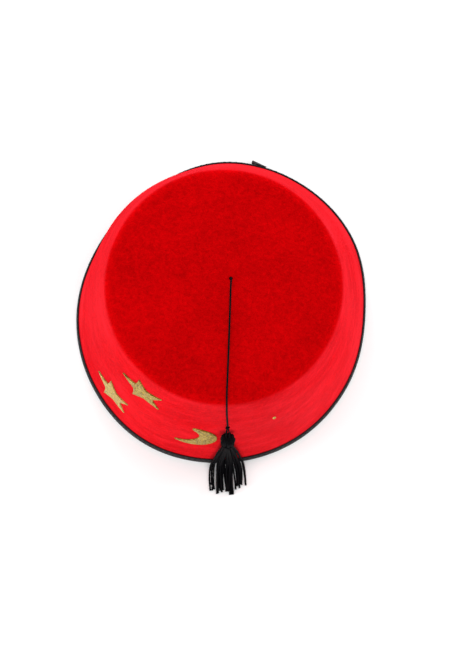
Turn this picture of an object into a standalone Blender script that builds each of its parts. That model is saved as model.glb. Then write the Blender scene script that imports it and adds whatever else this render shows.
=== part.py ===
"""A fez: a felt cap with a taped hem, three glitter ornaments, and a tassel on a thin cord.

Lengths are in metres, and azimuths run counterclockwise from +X round the crown's axis. The cap stands
on its hem, with the middle of its foot at the origin. The cord lies over the crown towards -Y and
down the wall, where the tassel leans with its ends on the ground.
"""

import math
from collections import namedtuple

import bmesh
import bpy
from mathutils import Matrix, Vector

# Felt cap. The crown's axis stands AXIS_SHIFT towards -Y from the middle of the foot
HEIGHT = 0.118
CROWN_RADIUS = 0.070
EDGE_RADIUS = 0.005
DOME_DROP = 0.002
FELT = 0.002
HEM_RADIUS = 0.098
AXIS_SHIFT = 0.0018

# Reach of the hem as a share of HEM_RADIUS, every 30 degrees from +X. It is dented at the back left.
HEM_REACH = (0.953, 1.007, 1.018, 1.012, 0.947, 0.926, 0.950, 0.974, 0.998, 0.988, 0.979, 0.962)

# Soft outward swell of the wall over that dent, at mid height
SWELL = 0.0025
SWELL_AZIMUTH = math.radians(136.0)
SWELL_SPREAD = math.radians(50.0)

# Tape folded round the hem
TAPE = 0.0008
TAPE_OUTSIDE = 0.008
TAPE_INSIDE = 0.006
FOLD_RADIUS = 0.0005
TAPE_END_AZIMUTH = math.radians(72.2)
TAPE_END_LENGTH = 0.0102
TAPE_END_LIFT = 0.0022
TAPE_END_CURL = 1.6

# Lower and upper edge of the loose end at its root and at its tip, as shares of TAPE_OUTSIDE
TapeEndRow = namedtuple("TapeEndRow", "low high")
TAPE_END_ROOT = TapeEndRow(0.10, 0.92)
TAPE_END_TIP = TapeEndRow(0.20, 0.72)

# Clearance between neighbouring pieces
GAP = 0.0003

# Glitter ornaments, placed by azimuth and by slant distance below the crown's level
ORNAMENT = 0.001
STAR_RADIUS = 0.0162
STAR_WAIST = 0.46
UPPER_STAR_AZIMUTH = math.radians(231.1)
UPPER_STAR_SLANT = 0.0332
LOWER_STAR_AZIMUTH = math.radians(219.1)
LOWER_STAR_SLANT = 0.0847
CRESCENT_AZIMUTH = math.radians(257.6)
CRESCENT_SLANT = 0.0693
CRESCENT_RADIUS = 0.0151
CRESCENT_BITE_RADIUS = 0.0140
CRESCENT_BITE_AWAY = 0.0099
CRESCENT_OPENING = math.radians(168.0)

# Cord, and the knots on its two ends
CORD = 0.0012
CORD_SPACING = 2.4
HOLE_CLEARANCE = 0.0005
HOLE_SIDES = 12
INNER_KNOT_RADIUS = 0.0020
END_KNOT_RADIUS = 0.0015

# A knot's core and turns, as shares of its radius, and how far each turn tilts
KNOT_CORE = 0.8
KNOT_TURN = 0.36
KNOT_TILTS = (math.radians(35.0), math.radians(-35.0))

# Route of the cord, chosen by hand in millimetres: out of the hole, over the crown and down the wall
RoutePoint = namedtuple("RoutePoint", "x y z")
CORD_ROUTE = (
    RoutePoint(4.1, 2.3, 116.1),
    RoutePoint(4.1, 2.3, 119.0),
    RoutePoint(4.1, 1.4, 120.8),
    RoutePoint(4.0, -0.6, 121.4),
    RoutePoint(3.9, -3.0, 120.8),
    RoutePoint(3.8, -5.8, 119.6),
    RoutePoint(3.7, -9.8, 119.0),
    RoutePoint(3.3, -21.8, 119.0),
    RoutePoint(2.8, -35.8, 118.9),
    RoutePoint(2.3, -49.8, 118.5),
    RoutePoint(1.9, -59.8, 117.8),
    RoutePoint(1.7, -65.3, 117.3),
    RoutePoint(1.7, -69.0, 116.6),
    RoutePoint(1.7, -71.7, 114.5),
    RoutePoint(1.8, -73.0, 111.3),
    RoutePoint(2.0, -75.4, 101.0),
    RoutePoint(2.4, -77.8, 90.6),
    RoutePoint(2.9, -80.7, 78.0),
)

# Tassel, measured along it from the end of the cord
LOOP_THICKNESS = 0.0009
LOOP_LENGTH = 0.0083
LOOP_SPREAD = 0.0007
HEAD_RADIUS = 0.00465
HEAD_LENGTH = 0.008
NECK_RADIUS = 0.0029
NECK_LENGTH = 0.005
WRAP_THICKNESS = 0.0007
WRAP_TURNS = 4
SKIRT_LENGTH = 0.073
SKIRT_WIDTH = 0.024
LOCK_RADIUS = 0.0015
LOCK_ROOT = 0.75
LOCK_TIP = 0.45
GROUND_BEND = 0.009

# Outline of the tassel's head, as shares of its length and of its radius
HeadRow = namedtuple("HeadRow", "along reach")
HEAD_FORM = (
    HeadRow(0.00, 0.22),
    HeadRow(0.06, 0.52),
    HeadRow(0.20, 0.82),
    HeadRow(0.42, 1.00),
    HeadRow(0.64, 0.97),
    HeadRow(0.84, 0.80),
)

# Locks of the skirt: side place as a share of its half width, layer off the wall, share of its length
LockRow = namedtuple("LockRow", "side layer length")
LOCKS = (
    LockRow(-1.00, 0, 0.90),
    LockRow(-0.67, 0, 0.97),
    LockRow(-0.34, 0, 0.93),
    LockRow(0.00, 0, 1.00),
    LockRow(0.33, 0, 0.95),
    LockRow(0.66, 0, 0.99),
    LockRow(1.00, 0, 0.92),
    LockRow(-0.82, 1, 0.94),
    LockRow(-0.45, 1, 0.99),
    LockRow(-0.04, 1, 0.91),
    LockRow(0.42, 1, 0.98),
    LockRow(0.80, 1, 0.89),
)

# Fineness of the faceted shapes
AROUND = 72
TOP_SHARES = (0.15, 0.42, 0.68, 0.84, 0.93, 1.0)
EDGE_STEPS = 4
WALL_STEPS = 5
TAPE_END_STEPS = 5
STRIP = 0.004
ARC_STEPS = 18
LOCK_SIDES = 6
LOCK_STEPS = 10
TURNED_SIDES = 16
KNOT_STEPS = 12
KNOT_SIDES = 6
LOOP_STEPS = 6
LEG_STEPS = 4

# Where the rounded edge between crown and wall has its centre
DOME_TILT = math.atan(4 * DOME_DROP / (CROWN_RADIUS - EDGE_RADIUS))
EDGE_CENTRE_RADIUS = CROWN_RADIUS - EDGE_RADIUS
EDGE_CENTRE_HEIGHT = HEIGHT - DOME_DROP - EDGE_RADIUS * math.cos(DOME_TILT)

Wall = namedtuple("Wall", "foot lean")


def mix(low, high, share):
    """Value between low and high."""
    return low + (high - low) * share


def eased(share):
    """Share that starts and ends gently, kept from 0 to 1."""
    share = min(max(share, 0.0), 1.0)
    return share * share * (3 - 2 * share)


def smooth_between(before, start, end, after, share):
    """Value or point on the smooth curve that runs from start to end past their neighbours."""
    square = share * share
    cube = square * share
    return (
        before * (-share + 2 * square - cube)
        + start * (2 - 5 * square + 3 * cube)
        + end * (share + 4 * square - 3 * cube)
        + after * (cube - square)
    ) / 2


def hem_reach(azimuth):
    """Share of HEM_RADIUS that the hem reaches at an azimuth."""
    count = len(HEM_REACH)
    place = azimuth % math.tau / math.tau * count
    first = int(place)
    rows = [HEM_REACH[(first + step) % count] for step in (-1, 0, 1, 2)]
    return smooth_between(*rows, place - first)


def wall_at(azimuth):
    """Radius of the felt's outside at ground level, and its lean from upright."""
    foot = HEM_RADIUS * hem_reach(azimuth) - TAPE - GAP
    out = foot - EDGE_CENTRE_RADIUS
    down = EDGE_CENTRE_HEIGHT
    lean = math.acos(EDGE_RADIUS / math.hypot(out, down)) - math.atan2(down, out)
    return Wall(foot, lean)


def at_azimuth(azimuth, radius, height):
    """Point at an azimuth and a radius round the crown's axis, and at a height."""
    return Vector((radius * math.cos(azimuth), radius * math.sin(azimuth) - AXIS_SHIFT, height))


def radius_of(point):
    """Distance of a point from the crown's axis."""
    return math.hypot(point.x, point.y + AXIS_SHIFT)


def on_wall(azimuth, slant, lift):
    """Point a slant distance below the crown's level, and lift off the felt."""
    wall = wall_at(azimuth)
    level = HEIGHT - slant * math.cos(wall.lean)
    radius = wall.foot - level * math.tan(wall.lean) + lift * math.cos(wall.lean)
    return at_azimuth(azimuth, radius, level + lift * math.sin(wall.lean))


def material(name, colour, roughness, metallic=0.0):
    """Principled material of one plain colour."""
    made = bpy.data.materials.new(name)
    made.use_nodes = True
    shader = made.node_tree.nodes["Principled BSDF"]
    shader.inputs["Base Color"].default_value = (*colour, 1.0)
    shader.inputs["Roughness"].default_value = roughness
    shader.inputs["Metallic"].default_value = metallic
    made.diffuse_color = (*colour, 1.0)
    return made


def new_object(name, mesh, finish):
    """Object of a mesh, shaded smooth but for its sharp edges."""
    mesh.shade_smooth()
    mesh.set_sharp_from_angle(angle=math.radians(40))
    mesh.materials.append(finish)
    made = bpy.data.objects.new(name, mesh)
    bpy.context.scene.collection.objects.link(made)
    return made


def object_of(name, shape, finish):
    """Object of a bmesh, which it frees, with the faces turned outwards."""
    bmesh.ops.recalc_face_normals(shape, faces=shape.faces)
    if shape.calc_volume(signed=True) < 0:
        bmesh.ops.reverse_faces(shape, faces=shape.faces)
    mesh = bpy.data.meshes.new(name)
    shape.to_mesh(mesh)
    shape.free()
    return new_object(name, mesh, finish)


def loft(shape, rings, closed_round=False):
    """Joins rings of points into one surface, and closes its ends unless it runs round."""
    made = [[shape.verts.new(point) for point in ring] for ring in rings]
    pairs = list(zip(made, made[1:]))
    if closed_round:
        pairs.append((made[-1], made[0]))
    for first, second in pairs:
        for a, b, c, d in zip(first, first[1:] + first[:1], second[1:] + second[:1], second):
            shape.faces.new((a, b, c, d))
    if not closed_round:
        shape.faces.new(made[0])
        shape.faces.new(made[-1])
    return made


def helper(made):
    """Turns an object into a Boolean's second shape, which isn't rendered."""
    made.hide_render = True
    made.display_type = "WIRE"
    return made


def add_boolean(target, other, operation):
    """Cuts another shape from the target, or joins it on."""
    modifier = target.modifiers.new(f"{operation.title()} {other.name}", "BOOLEAN")
    modifier.operation = operation
    modifier.solver = "EXACT"
    modifier.object = helper(other)


def swell_at(azimuth, share):
    """How far the wall swells out, a share of the way from its top to the tape."""
    away = abs((azimuth - SWELL_AZIMUTH + math.pi) % math.tau - math.pi)
    near = 1.0 + math.cos(math.pi * min(away / SWELL_SPREAD, 1.0))
    return SWELL * near / 2 * 4 * share * (1.0 - share)


def felt_profile(azimuth):
    """Radius and height of the felt's outside, from beside the crown's centre to the hem."""
    wall = wall_at(azimuth)
    top_end = EDGE_CENTRE_RADIUS + EDGE_RADIUS * math.sin(DOME_TILT)
    points = [(top_end * share, HEIGHT - DOME_DROP * share**4) for share in TOP_SHARES]
    for step in range(1, EDGE_STEPS + 1):
        angle = mix(math.pi / 2 - DOME_TILT, wall.lean, step / EDGE_STEPS)
        out = EDGE_CENTRE_RADIUS + EDGE_RADIUS * math.cos(angle)
        points.append((out, EDGE_CENTRE_HEIGHT + EDGE_RADIUS * math.sin(angle)))
    top = points[-1][1]
    for step in range(1, WALL_STEPS + 1):
        share = step / WALL_STEPS
        height = mix(top, TAPE_OUTSIDE + FELT, share)
        radius = wall.foot - height * math.tan(wall.lean) + swell_at(azimuth, share)
        points.append((radius, height))
    bottom = TAPE + GAP + FELT * math.sin(wall.lean)
    points.append((wall.foot - bottom * math.tan(wall.lean), bottom))
    return points


def build_crown(finish):
    """Felt cap: the outer skin, thickened inwards, with a small hole for the cord."""
    azimuths = [math.tau * step / AROUND for step in range(AROUND)]
    profiles = [felt_profile(azimuth) for azimuth in azimuths]
    skin = bmesh.new()
    rings = []
    for level in range(len(profiles[0])):
        points = [at_azimuth(a, *profile[level]) for a, profile in zip(azimuths, profiles)]
        rings.append([skin.verts.new(point) for point in points])
    centre = skin.verts.new(at_azimuth(0.0, 0.0, HEIGHT))
    for a, b in zip(rings[0], rings[0][1:] + rings[0][:1]):
        skin.faces.new((centre, a, b))
    for upper, lower in zip(rings, rings[1:]):
        for a, b, c, d in zip(upper, lower, lower[1:] + lower[:1], upper[1:] + upper[:1]):
            skin.faces.new((a, b, c, d))
    mesh = bpy.data.meshes.new("crown")
    skin.to_mesh(mesh)
    skin.free()
    crown = new_object("crown", mesh, finish)
    thickness = crown.modifiers.new("Felt", "SOLIDIFY")
    thickness.thickness = FELT
    thickness.offset = -1.0
    thickness.use_even_offset = True
    add_boolean(crown, hole_cutter(finish), "DIFFERENCE")


def hole_cutter(finish):
    """Upright round bar where the cord passes through the crown."""
    shape = bmesh.new()
    radius = CORD / 2 + HOLE_CLEARANCE
    place = Matrix.Translation((CORD_ROUTE[0].x / 1000, CORD_ROUTE[0].y / 1000, HEIGHT))
    bmesh.ops.create_cone(
        shape,
        cap_ends=True,
        segments=HOLE_SIDES,
        radius1=radius,
        radius2=radius,
        depth=6 * FELT,
        matrix=place,
    )
    return object_of("cord_hole", shape, finish)


def face_line(azimuth, lift, height):
    """Radius at a height of the slanting face that lies lift off the felt's outside."""
    wall = wall_at(azimuth)
    return wall.foot + lift / math.cos(wall.lean) - height * math.tan(wall.lean)


def tape_section(azimuth):
    """Closed outline of the folded tape at an azimuth, flat underneath."""
    outer = GAP + TAPE
    inner = -FELT - GAP - TAPE
    outline = [
        (outer, TAPE_OUTSIDE),
        (outer, FOLD_RADIUS),
        (outer, 0.0),
        (inner, 0.0),
        (inner, FOLD_RADIUS),
        (inner, TAPE_INSIDE),
        (-FELT - GAP, TAPE_INSIDE),
        (-FELT - GAP, TAPE),
        (GAP, TAPE),
        (GAP, TAPE_OUTSIDE),
    ]
    points = []
    for lift, height in outline:
        radius = face_line(azimuth, lift, height)
        if height == 0.0:
            radius -= math.copysign(FOLD_RADIUS, lift)
        points.append(at_azimuth(azimuth, radius, height))
    return points


def tape_end_section(share):
    """Outline of the tape's loose end, a share of the way from where it lifts to its tip."""
    azimuth = TAPE_END_AZIMUTH + share * TAPE_END_LENGTH / HEM_RADIUS
    away = TAPE_END_LIFT * share**TAPE_END_CURL
    low = mix(TAPE_END_ROOT.low, TAPE_END_TIP.low, share) * TAPE_OUTSIDE
    high = mix(TAPE_END_ROOT.high, TAPE_END_TIP.high, share) * TAPE_OUTSIDE
    corners = ((away, low), (away + TAPE, low), (away / 2 + TAPE, high), (away / 2, high))
    return [
        at_azimuth(azimuth, face_line(azimuth, GAP + TAPE / 2 + lift, height), height)
        for lift, height in corners
    ]


def build_binding(finish):
    """Tape folded round the hem, with its loose end lifting away at the back."""
    shape = bmesh.new()
    azimuths = [math.tau * step / AROUND for step in range(AROUND)]
    loft(shape, [tape_section(azimuth) for azimuth in azimuths], closed_round=True)
    binding = object_of("hem_binding", shape, finish)
    end = bmesh.new()
    loft(end, [tape_end_section(step / TAPE_END_STEPS) for step in range(TAPE_END_STEPS + 1)])
    add_boolean(binding, object_of("tape_end", end, finish), "UNION")


def star_outline():
    """Five-pointed star with one tip to the left, as points across and up."""
    points = []
    for step in range(10):
        reach = STAR_RADIUS * (STAR_WAIST if step % 2 else 1.0)
        angle = math.pi + step * math.pi / 5
        points.append((reach * math.cos(angle), reach * math.sin(angle)))
    return points


def crescent_outline():
    """Disc with a smaller disc bitten out of it, as points across and up."""
    away = CRESCENT_BITE_AWAY
    along = (away**2 + CRESCENT_RADIUS**2 - CRESCENT_BITE_RADIUS**2) / (2 * away)
    outer_angle = math.acos(along / CRESCENT_RADIUS)
    bite_angle = math.acos((along - away) / CRESCENT_BITE_RADIUS)
    points = []
    for step in range(ARC_STEPS + 1):
        angle = mix(outer_angle, math.tau - outer_angle, step / ARC_STEPS)
        points.append((CRESCENT_RADIUS * math.cos(angle), CRESCENT_RADIUS * math.sin(angle)))
    for step in range(1, ARC_STEPS):
        angle = mix(math.tau - bite_angle, bite_angle, step / ARC_STEPS)
        across = away + CRESCENT_BITE_RADIUS * math.cos(angle)
        points.append((across, CRESCENT_BITE_RADIUS * math.sin(angle)))
    turn = Matrix.Rotation(CRESCENT_OPENING, 2)
    return [tuple(turn @ Vector(point)) for point in points]


def build_ornament(name, outline, azimuth, slant, finish):
    """Thin plate of an outline, bent round the wall and just off it."""
    shape = bmesh.new()
    shape.faces.new([shape.verts.new((across, up, 0.0)) for across, up in outline])
    shape.normal_update()
    bmesh.ops.triangulate(shape, faces=shape.faces)
    reach = max(abs(across) for across, _ in outline)
    for step in range(-int(reach / STRIP), int(reach / STRIP) + 1):
        every = [*shape.verts, *shape.edges, *shape.faces]
        place = (step * STRIP, 0.0, 0.0)
        bmesh.ops.bisect_plane(shape, geom=every, plane_co=place, plane_no=(1.0, 0.0, 0.0))
    raised = bmesh.ops.extrude_face_region(shape, geom=shape.faces[:])
    for item in raised["geom"]:
        if isinstance(item, bmesh.types.BMVert):
            item.co.z += ORNAMENT
    around = radius_of(on_wall(azimuth, slant, 0.0))
    for vert in shape.verts:
        across, up, lift = vert.co
        vert.co = on_wall(azimuth + across / around, slant - up, GAP + lift)
    object_of(name, shape, finish)


def spaced_route():
    """Points on a smooth curve through the cord's route, about CORD_SPACING diameters apart."""
    route = [Vector(point) / 1000 for point in CORD_ROUTE]
    padded = [2 * route[0] - route[1], *route, 2 * route[-1] - route[-2]]
    fine = [route[0]]
    for start in range(len(route) - 1):
        for step in range(1, 21):
            fine.append(smooth_between(*padded[start : start + 4], step / 20))
    lengths = [0.0]
    for a, b in zip(fine, fine[1:]):
        lengths.append(lengths[-1] + (b - a).length)
    count = round(lengths[-1] / (CORD_SPACING * CORD))
    points = []
    index = 0
    for step in range(count + 1):
        want = lengths[-1] * step / count
        while index < len(fine) - 2 and lengths[index + 1] < want:
            index += 1
        share = (want - lengths[index]) / (lengths[index + 1] - lengths[index])
        points.append(mix(fine[index], fine[index + 1], share))
    return points


def build_tube(name, points, thickness, finish):
    """Round tube with closed ends along a line of points."""
    curve = bpy.data.curves.new(name, "CURVE")
    curve.dimensions = "3D"
    curve.bevel_depth = thickness / 2
    curve.bevel_resolution = 2
    curve.use_fill_caps = True
    spline = curve.splines.new("POLY")
    spline.points.add(len(points) - 1)
    for target, point in zip(spline.points, points):
        target.co = (*point, 1.0)
    curve.materials.append(finish)
    bpy.context.scene.collection.objects.link(bpy.data.objects.new(name, curve))


def build_knot(name, centre, radius, finish):
    """Tight knot: a round core with two crossing turns of cord."""
    core = bmesh.new()
    bmesh.ops.create_uvsphere(
        core,
        u_segments=KNOT_STEPS,
        v_segments=KNOT_SIDES,
        radius=KNOT_CORE * radius,
        matrix=Matrix.Translation(centre),
    )
    knot = object_of(name, core, finish)
    thick = KNOT_TURN * radius
    for turn, tilt in enumerate(KNOT_TILTS):
        lean = Matrix.Rotation(tilt, 3, "Y")
        rings = []
        for step in range(KNOT_STEPS):
            angle = math.tau * step / KNOT_STEPS
            out = Vector((math.cos(angle), math.sin(angle), 0.0))
            ring = []
            for side in range(KNOT_SIDES):
                around = math.tau * side / KNOT_SIDES
                reach = radius - thick + thick * math.cos(around)
                point = lean @ (out * reach + Vector((0.0, 0.0, thick * math.sin(around))))
                ring.append(Vector(centre) + point)
            rings.append(ring)
        band = bmesh.new()
        loft(band, rings, closed_round=True)
        add_boolean(knot, object_of(f"{name}_turn_{turn}", band, finish), "UNION")


class Lay:
    """Where the tassel lies: down the wall, round a bend and out over the ground."""

    def __init__(self, cord_end):
        self.azimuth = math.atan2(cord_end.y + AXIS_SHIFT, cord_end.x)
        self.lean = wall_at(self.azimuth).lean
        self.rest = GAP + TAPE
        level = cord_end.z - (GAP + CORD / 2) * math.sin(self.lean)
        self.start = (HEIGHT - level) / math.cos(self.lean)
        self.side = Vector((-math.sin(self.azimuth), math.cos(self.azimuth), 0.0))
        corner = (HEIGHT + self.rest * math.sin(self.lean)) / math.cos(self.lean)
        self.turn = math.pi / 2 - self.lean
        self.bend = corner - GROUND_BEND * math.tan(self.turn / 2)

    def point(self, across, along, lift):
        """Point across the tassel, along it from the cord's end, and lift off the tape's face."""
        slant = self.start + along
        angle = min(max((slant - self.bend) / GROUND_BEND, 0.0), self.turn)
        beyond = max(slant - self.bend - GROUND_BEND * self.turn, 0.0)
        start = on_wall(self.azimuth, min(slant, self.bend), self.rest)
        radius = radius_of(start) + beyond
        radius += GROUND_BEND * (math.cos(self.lean) - math.cos(self.lean + angle))
        height = start.z + GROUND_BEND * (math.sin(self.lean) - math.sin(self.lean + angle))
        radius += lift * math.cos(self.lean + angle)
        height += lift * math.sin(self.lean + angle)
        return at_azimuth(self.azimuth, radius, height) - self.side * across

    @property
    def axis(self):
        """Lift of the middle of the tassel's head, which lies on the felt."""
        return GAP + HEAD_RADIUS - self.rest

    @property
    def cord(self):
        """Lift of the middle of the cord, which lies on the felt."""
        return GAP + CORD / 2 - self.rest


def turned_rings(lay, profile):
    """Rings of a turned shape round the tassel's axis, from rows of place along it and radius."""
    rings = []
    for along, radius in profile:
        ring = []
        for side in range(TURNED_SIDES):
            angle = math.tau * side / TURNED_SIDES
            lift = lay.axis + radius * math.sin(angle)
            ring.append(lay.point(radius * math.cos(angle), along, lift))
        rings.append(ring)
    return rings


def build_loop(lay, start, finish):
    """Narrow loop of thread from the tassel's head up to the cord's knot."""
    points = []
    for step in range(LOOP_STEPS + 1):
        angle = math.pi * step / LOOP_STEPS
        along = start + LOOP_THICKNESS / 2 + LOOP_SPREAD * (1 - math.sin(angle))
        points.append((LOOP_SPREAD * math.cos(angle), along))
    far = start + LOOP_LENGTH - GAP
    legs = [mix(far, points[0][1], step / LEG_STEPS) for step in range(LEG_STEPS)]
    route = [(LOOP_SPREAD, along) for along in legs]
    route += points
    route += [(-LOOP_SPREAD, along) for along in reversed(legs)]
    line = []
    for across, along in route:
        share = eased((along - start) / LOOP_LENGTH)
        line.append(lay.point(across, along, mix(lay.cord + LOOP_THICKNESS, lay.axis, share)))
    build_tube("tassel_loop", line, LOOP_THICKNESS, finish)


def lock_rings(lay, row, start):
    """Rings of one lock of threads, from inside the neck to its own tapering end."""
    begin = start - NECK_LENGTH / 2
    length = NECK_LENGTH / 2 + SKIRT_LENGTH * row.length
    rings = []
    for step in range(LOCK_STEPS + 1):
        share = step / LOCK_STEPS
        along = begin + length * share
        across = row.side * mix(NECK_RADIUS / 2, SKIRT_WIDTH / 2 - LOCK_RADIUS, eased(share) ** 0.8)
        near = lay.axis + (row.layer - 0.5) * NECK_RADIUS * 0.7
        rest = GAP + LOCK_RADIUS * (1.0 + 1.7 * row.layer)
        lift = mix(near, rest, eased(2.2 * share))
        radius = LOCK_RADIUS * mix(LOCK_ROOT, 1.0, eased(3 * share))
        radius *= mix(1.0, LOCK_TIP, max(4 * share - 3, 0.0))
        ring = []
        for side in range(LOCK_SIDES):
            angle = math.tau * (side + 0.5) / LOCK_SIDES
            place = across + radius * math.cos(angle)
            ring.append(lay.point(place, along, lift + radius * math.sin(angle)))
        rings.append(ring)
    return rings


def build_tassel(lay, start, finish):
    """Round head and neck with the locks of the skirt fused to them."""
    profile = [(start + row.along * HEAD_LENGTH, row.reach * HEAD_RADIUS) for row in HEAD_FORM]
    profile.append((start + HEAD_LENGTH, NECK_RADIUS))
    profile.append((start + HEAD_LENGTH + NECK_LENGTH, NECK_RADIUS))
    shape = bmesh.new()
    loft(shape, turned_rings(lay, profile))
    tassel = object_of("tassel", shape, finish)
    for number, row in enumerate(LOCKS):
        lock = bmesh.new()
        loft(lock, lock_rings(lay, row, start + HEAD_LENGTH + NECK_LENGTH))
        add_boolean(tassel, object_of(f"lock_{number}", lock, finish), "UNION")


def build_wrap(lay, start, finish):
    """Thread wound round the tassel's neck, in a few round turns."""
    inner = NECK_RADIUS + GAP
    begin = start + HEAD_LENGTH + GAP
    end = start + HEAD_LENGTH + NECK_LENGTH - GAP
    outline = [(begin, inner)]
    for step in range(2 * WRAP_TURNS + 1):
        reach = inner + WRAP_THICKNESS * (1.0 if step % 2 else 0.6)
        outline.append((mix(begin, end, step / (2 * WRAP_TURNS)), reach))
    outline.append((end, inner))
    shape = bmesh.new()
    loft(shape, turned_rings(lay, outline), closed_round=True)
    object_of("tassel_wrap", shape, finish)


def clear_scene():
    """Removes every object of the scene."""
    for old in list(bpy.data.objects):
        bpy.data.objects.remove(old, do_unlink=True)


def main():
    """Builds the fez piece by piece."""
    clear_scene()
    felt = material("red_felt", (0.55, 0.004, 0.008), 0.9)
    tape = material("black_tape", (0.035, 0.03, 0.032), 0.7)
    glitter = material("gold_glitter", (0.60, 0.45, 0.19), 0.35, 0.8)
    thread = material("black_thread", (0.02, 0.02, 0.022), 0.6)

    build_crown(felt)
    build_binding(tape)
    star = star_outline()
    build_ornament("star_upper", star, UPPER_STAR_AZIMUTH, UPPER_STAR_SLANT, glitter)
    build_ornament("star_lower", star, LOWER_STAR_AZIMUTH, LOWER_STAR_SLANT, glitter)
    crescent = crescent_outline()
    build_ornament("crescent", crescent, CRESCENT_AZIMUTH, CRESCENT_SLANT, glitter)

    route = spaced_route()
    build_tube("tassel_cord", route, CORD, thread)
    under = Vector((route[0].x, route[0].y, HEIGHT - FELT - GAP - INNER_KNOT_RADIUS))
    build_knot("inner_knot", under, INNER_KNOT_RADIUS, thread)

    lay = Lay(route[-1])
    knot_along = GAP + END_KNOT_RADIUS
    knot_lift = lay.cord + END_KNOT_RADIUS - CORD / 2
    build_knot("cord_knot", lay.point(0.0, knot_along, knot_lift), END_KNOT_RADIUS, thread)
    loop_start = knot_along + END_KNOT_RADIUS + GAP
    build_loop(lay, loop_start, thread)
    head_start = loop_start + LOOP_LENGTH
    build_tassel(lay, head_start, thread)
    build_wrap(lay, head_start, thread)


main()
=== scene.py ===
"""Looks of a fez: red felt cap, taped hem, glitter ornaments, and a black tassel on a thin cord.

Lengths are in metres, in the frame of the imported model. Azimuths run counterclockwise from +X round
the crown's axis. The cap stands on its hem, the cord lies over the crown towards -Y and down the wall,
and the tassel leans there with its ends on the ground.
"""

import logging
import math
import random
from collections.abc import Callable, Iterable, Iterator, Sequence
from contextlib import contextmanager
from dataclasses import dataclass
from enum import Enum
from functools import partial
from typing import TypeVar

import bmesh
import bpy
import numpy as np
from mathutils import Matrix, Vector, noise


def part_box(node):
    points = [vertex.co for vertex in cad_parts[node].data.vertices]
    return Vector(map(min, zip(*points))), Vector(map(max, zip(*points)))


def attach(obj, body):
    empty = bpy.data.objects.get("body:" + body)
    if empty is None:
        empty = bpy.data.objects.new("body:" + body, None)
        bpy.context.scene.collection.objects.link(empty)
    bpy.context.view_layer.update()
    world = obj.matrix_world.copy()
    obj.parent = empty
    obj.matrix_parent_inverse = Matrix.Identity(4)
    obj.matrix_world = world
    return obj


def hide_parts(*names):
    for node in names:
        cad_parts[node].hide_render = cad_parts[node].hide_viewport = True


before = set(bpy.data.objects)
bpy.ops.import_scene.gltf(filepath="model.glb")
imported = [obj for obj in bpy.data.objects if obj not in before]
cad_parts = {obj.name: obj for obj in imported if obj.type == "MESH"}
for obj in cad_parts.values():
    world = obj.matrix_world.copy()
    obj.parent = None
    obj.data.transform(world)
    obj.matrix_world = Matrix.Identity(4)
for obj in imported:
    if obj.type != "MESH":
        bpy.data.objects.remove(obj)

Triple = tuple[float, float, float]
Colour = Triple
Sockets = tuple[tuple[str, float | tuple[float, ...]], ...]
Material = bpy.types.Material
Piece = bpy.types.Object
Socket = bpy.types.NodeSocket
Feed = float | Sequence[float] | Socket
Place = TypeVar("Place", float, Vector)

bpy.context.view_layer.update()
LOG = logging.getLogger("fez")
MM = 0.001
QUARTER = math.pi / 2


def mix(low: float, high: float, share: float) -> float:
    """Value at a share of the way from low to high."""
    return low + (high - low) * share


def eased(share: float) -> float:
    """Share kept from 0 to 1, which starts and ends gently."""
    share = min(max(share, 0.0), 1.0)
    return share * share * (3 - 2 * share)


def ray(angle: float, reach: float = 1.0) -> Vector:
    """Level vector in a direction."""
    return Vector((reach * math.cos(angle), reach * math.sin(angle), 0.0))


def waver(azimuth: float, turns: float, rise: float = 0.0, shift: float = 0.0) -> float:
    """Smooth random value from -1 to 1 at a place round the cap."""
    return noise.noise(ray(azimuth, turns) + Vector((shift, 0.0, rise)))


def smooth_between(before: Place, start: Place, end: Place, after: Place, share: float) -> Place:
    """Value or point on the smooth curve from start to end that runs past their neighbours.

    Args:
        before: value ahead of start.
        start: value at share 0.
        end: value at share 1.
        after: value past end.
        share: place between start and end.

    Returns:
        The value or point at that place.
    """
    square = share * share
    cube = square * share
    return (
        before * (-share + 2 * square - cube)
        + start * (2 - 5 * square + 3 * cube)
        + end * (share + 4 * square - 3 * cube)
        + after * (cube - square)
    ) / 2


def lengths_along(points: np.ndarray) -> np.ndarray:
    """Distance of each point of a line from the line's start."""
    steps = np.linalg.norm(np.diff(points, axis=0), axis=1)
    return np.concatenate([[0.0], np.cumsum(steps)])


def smooth_line(route: Sequence[Vector], spacing: float, steps: int = 20) -> list[Vector]:
    """Points at even distances on a smooth curve through a route.

    Args:
        route: the points to pass through.
        spacing: wanted distance between neighbours.
        steps: how finely each stretch of the curve is measured.

    Returns:
        The points, with both ends of the route among them.
    """
    padded = [2 * route[0] - route[1], *route, 2 * route[-1] - route[-2]]
    fine = [route[0]]
    for start in range(len(route) - 1):
        for step in range(1, steps + 1):
            fine.append(smooth_between(*padded[start : start + 4], step / steps))
    table = np.array(fine)
    lengths = lengths_along(table)
    count = max(round(lengths[-1] / spacing), 2)
    wanted = np.linspace(0.0, lengths[-1], count + 1)
    return [Vector(np.interp(want, lengths, table[:, axis]) for axis in range(3)) for want in wanted]


@dataclass(frozen=True)
class Wall:
    """Straight line of the felt's outside at one azimuth."""

    foot: float
    lean: float

    def radius(self, height: float) -> float:
        """Radius of the line at a height."""
        return self.foot - height * math.tan(self.lean)


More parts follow.
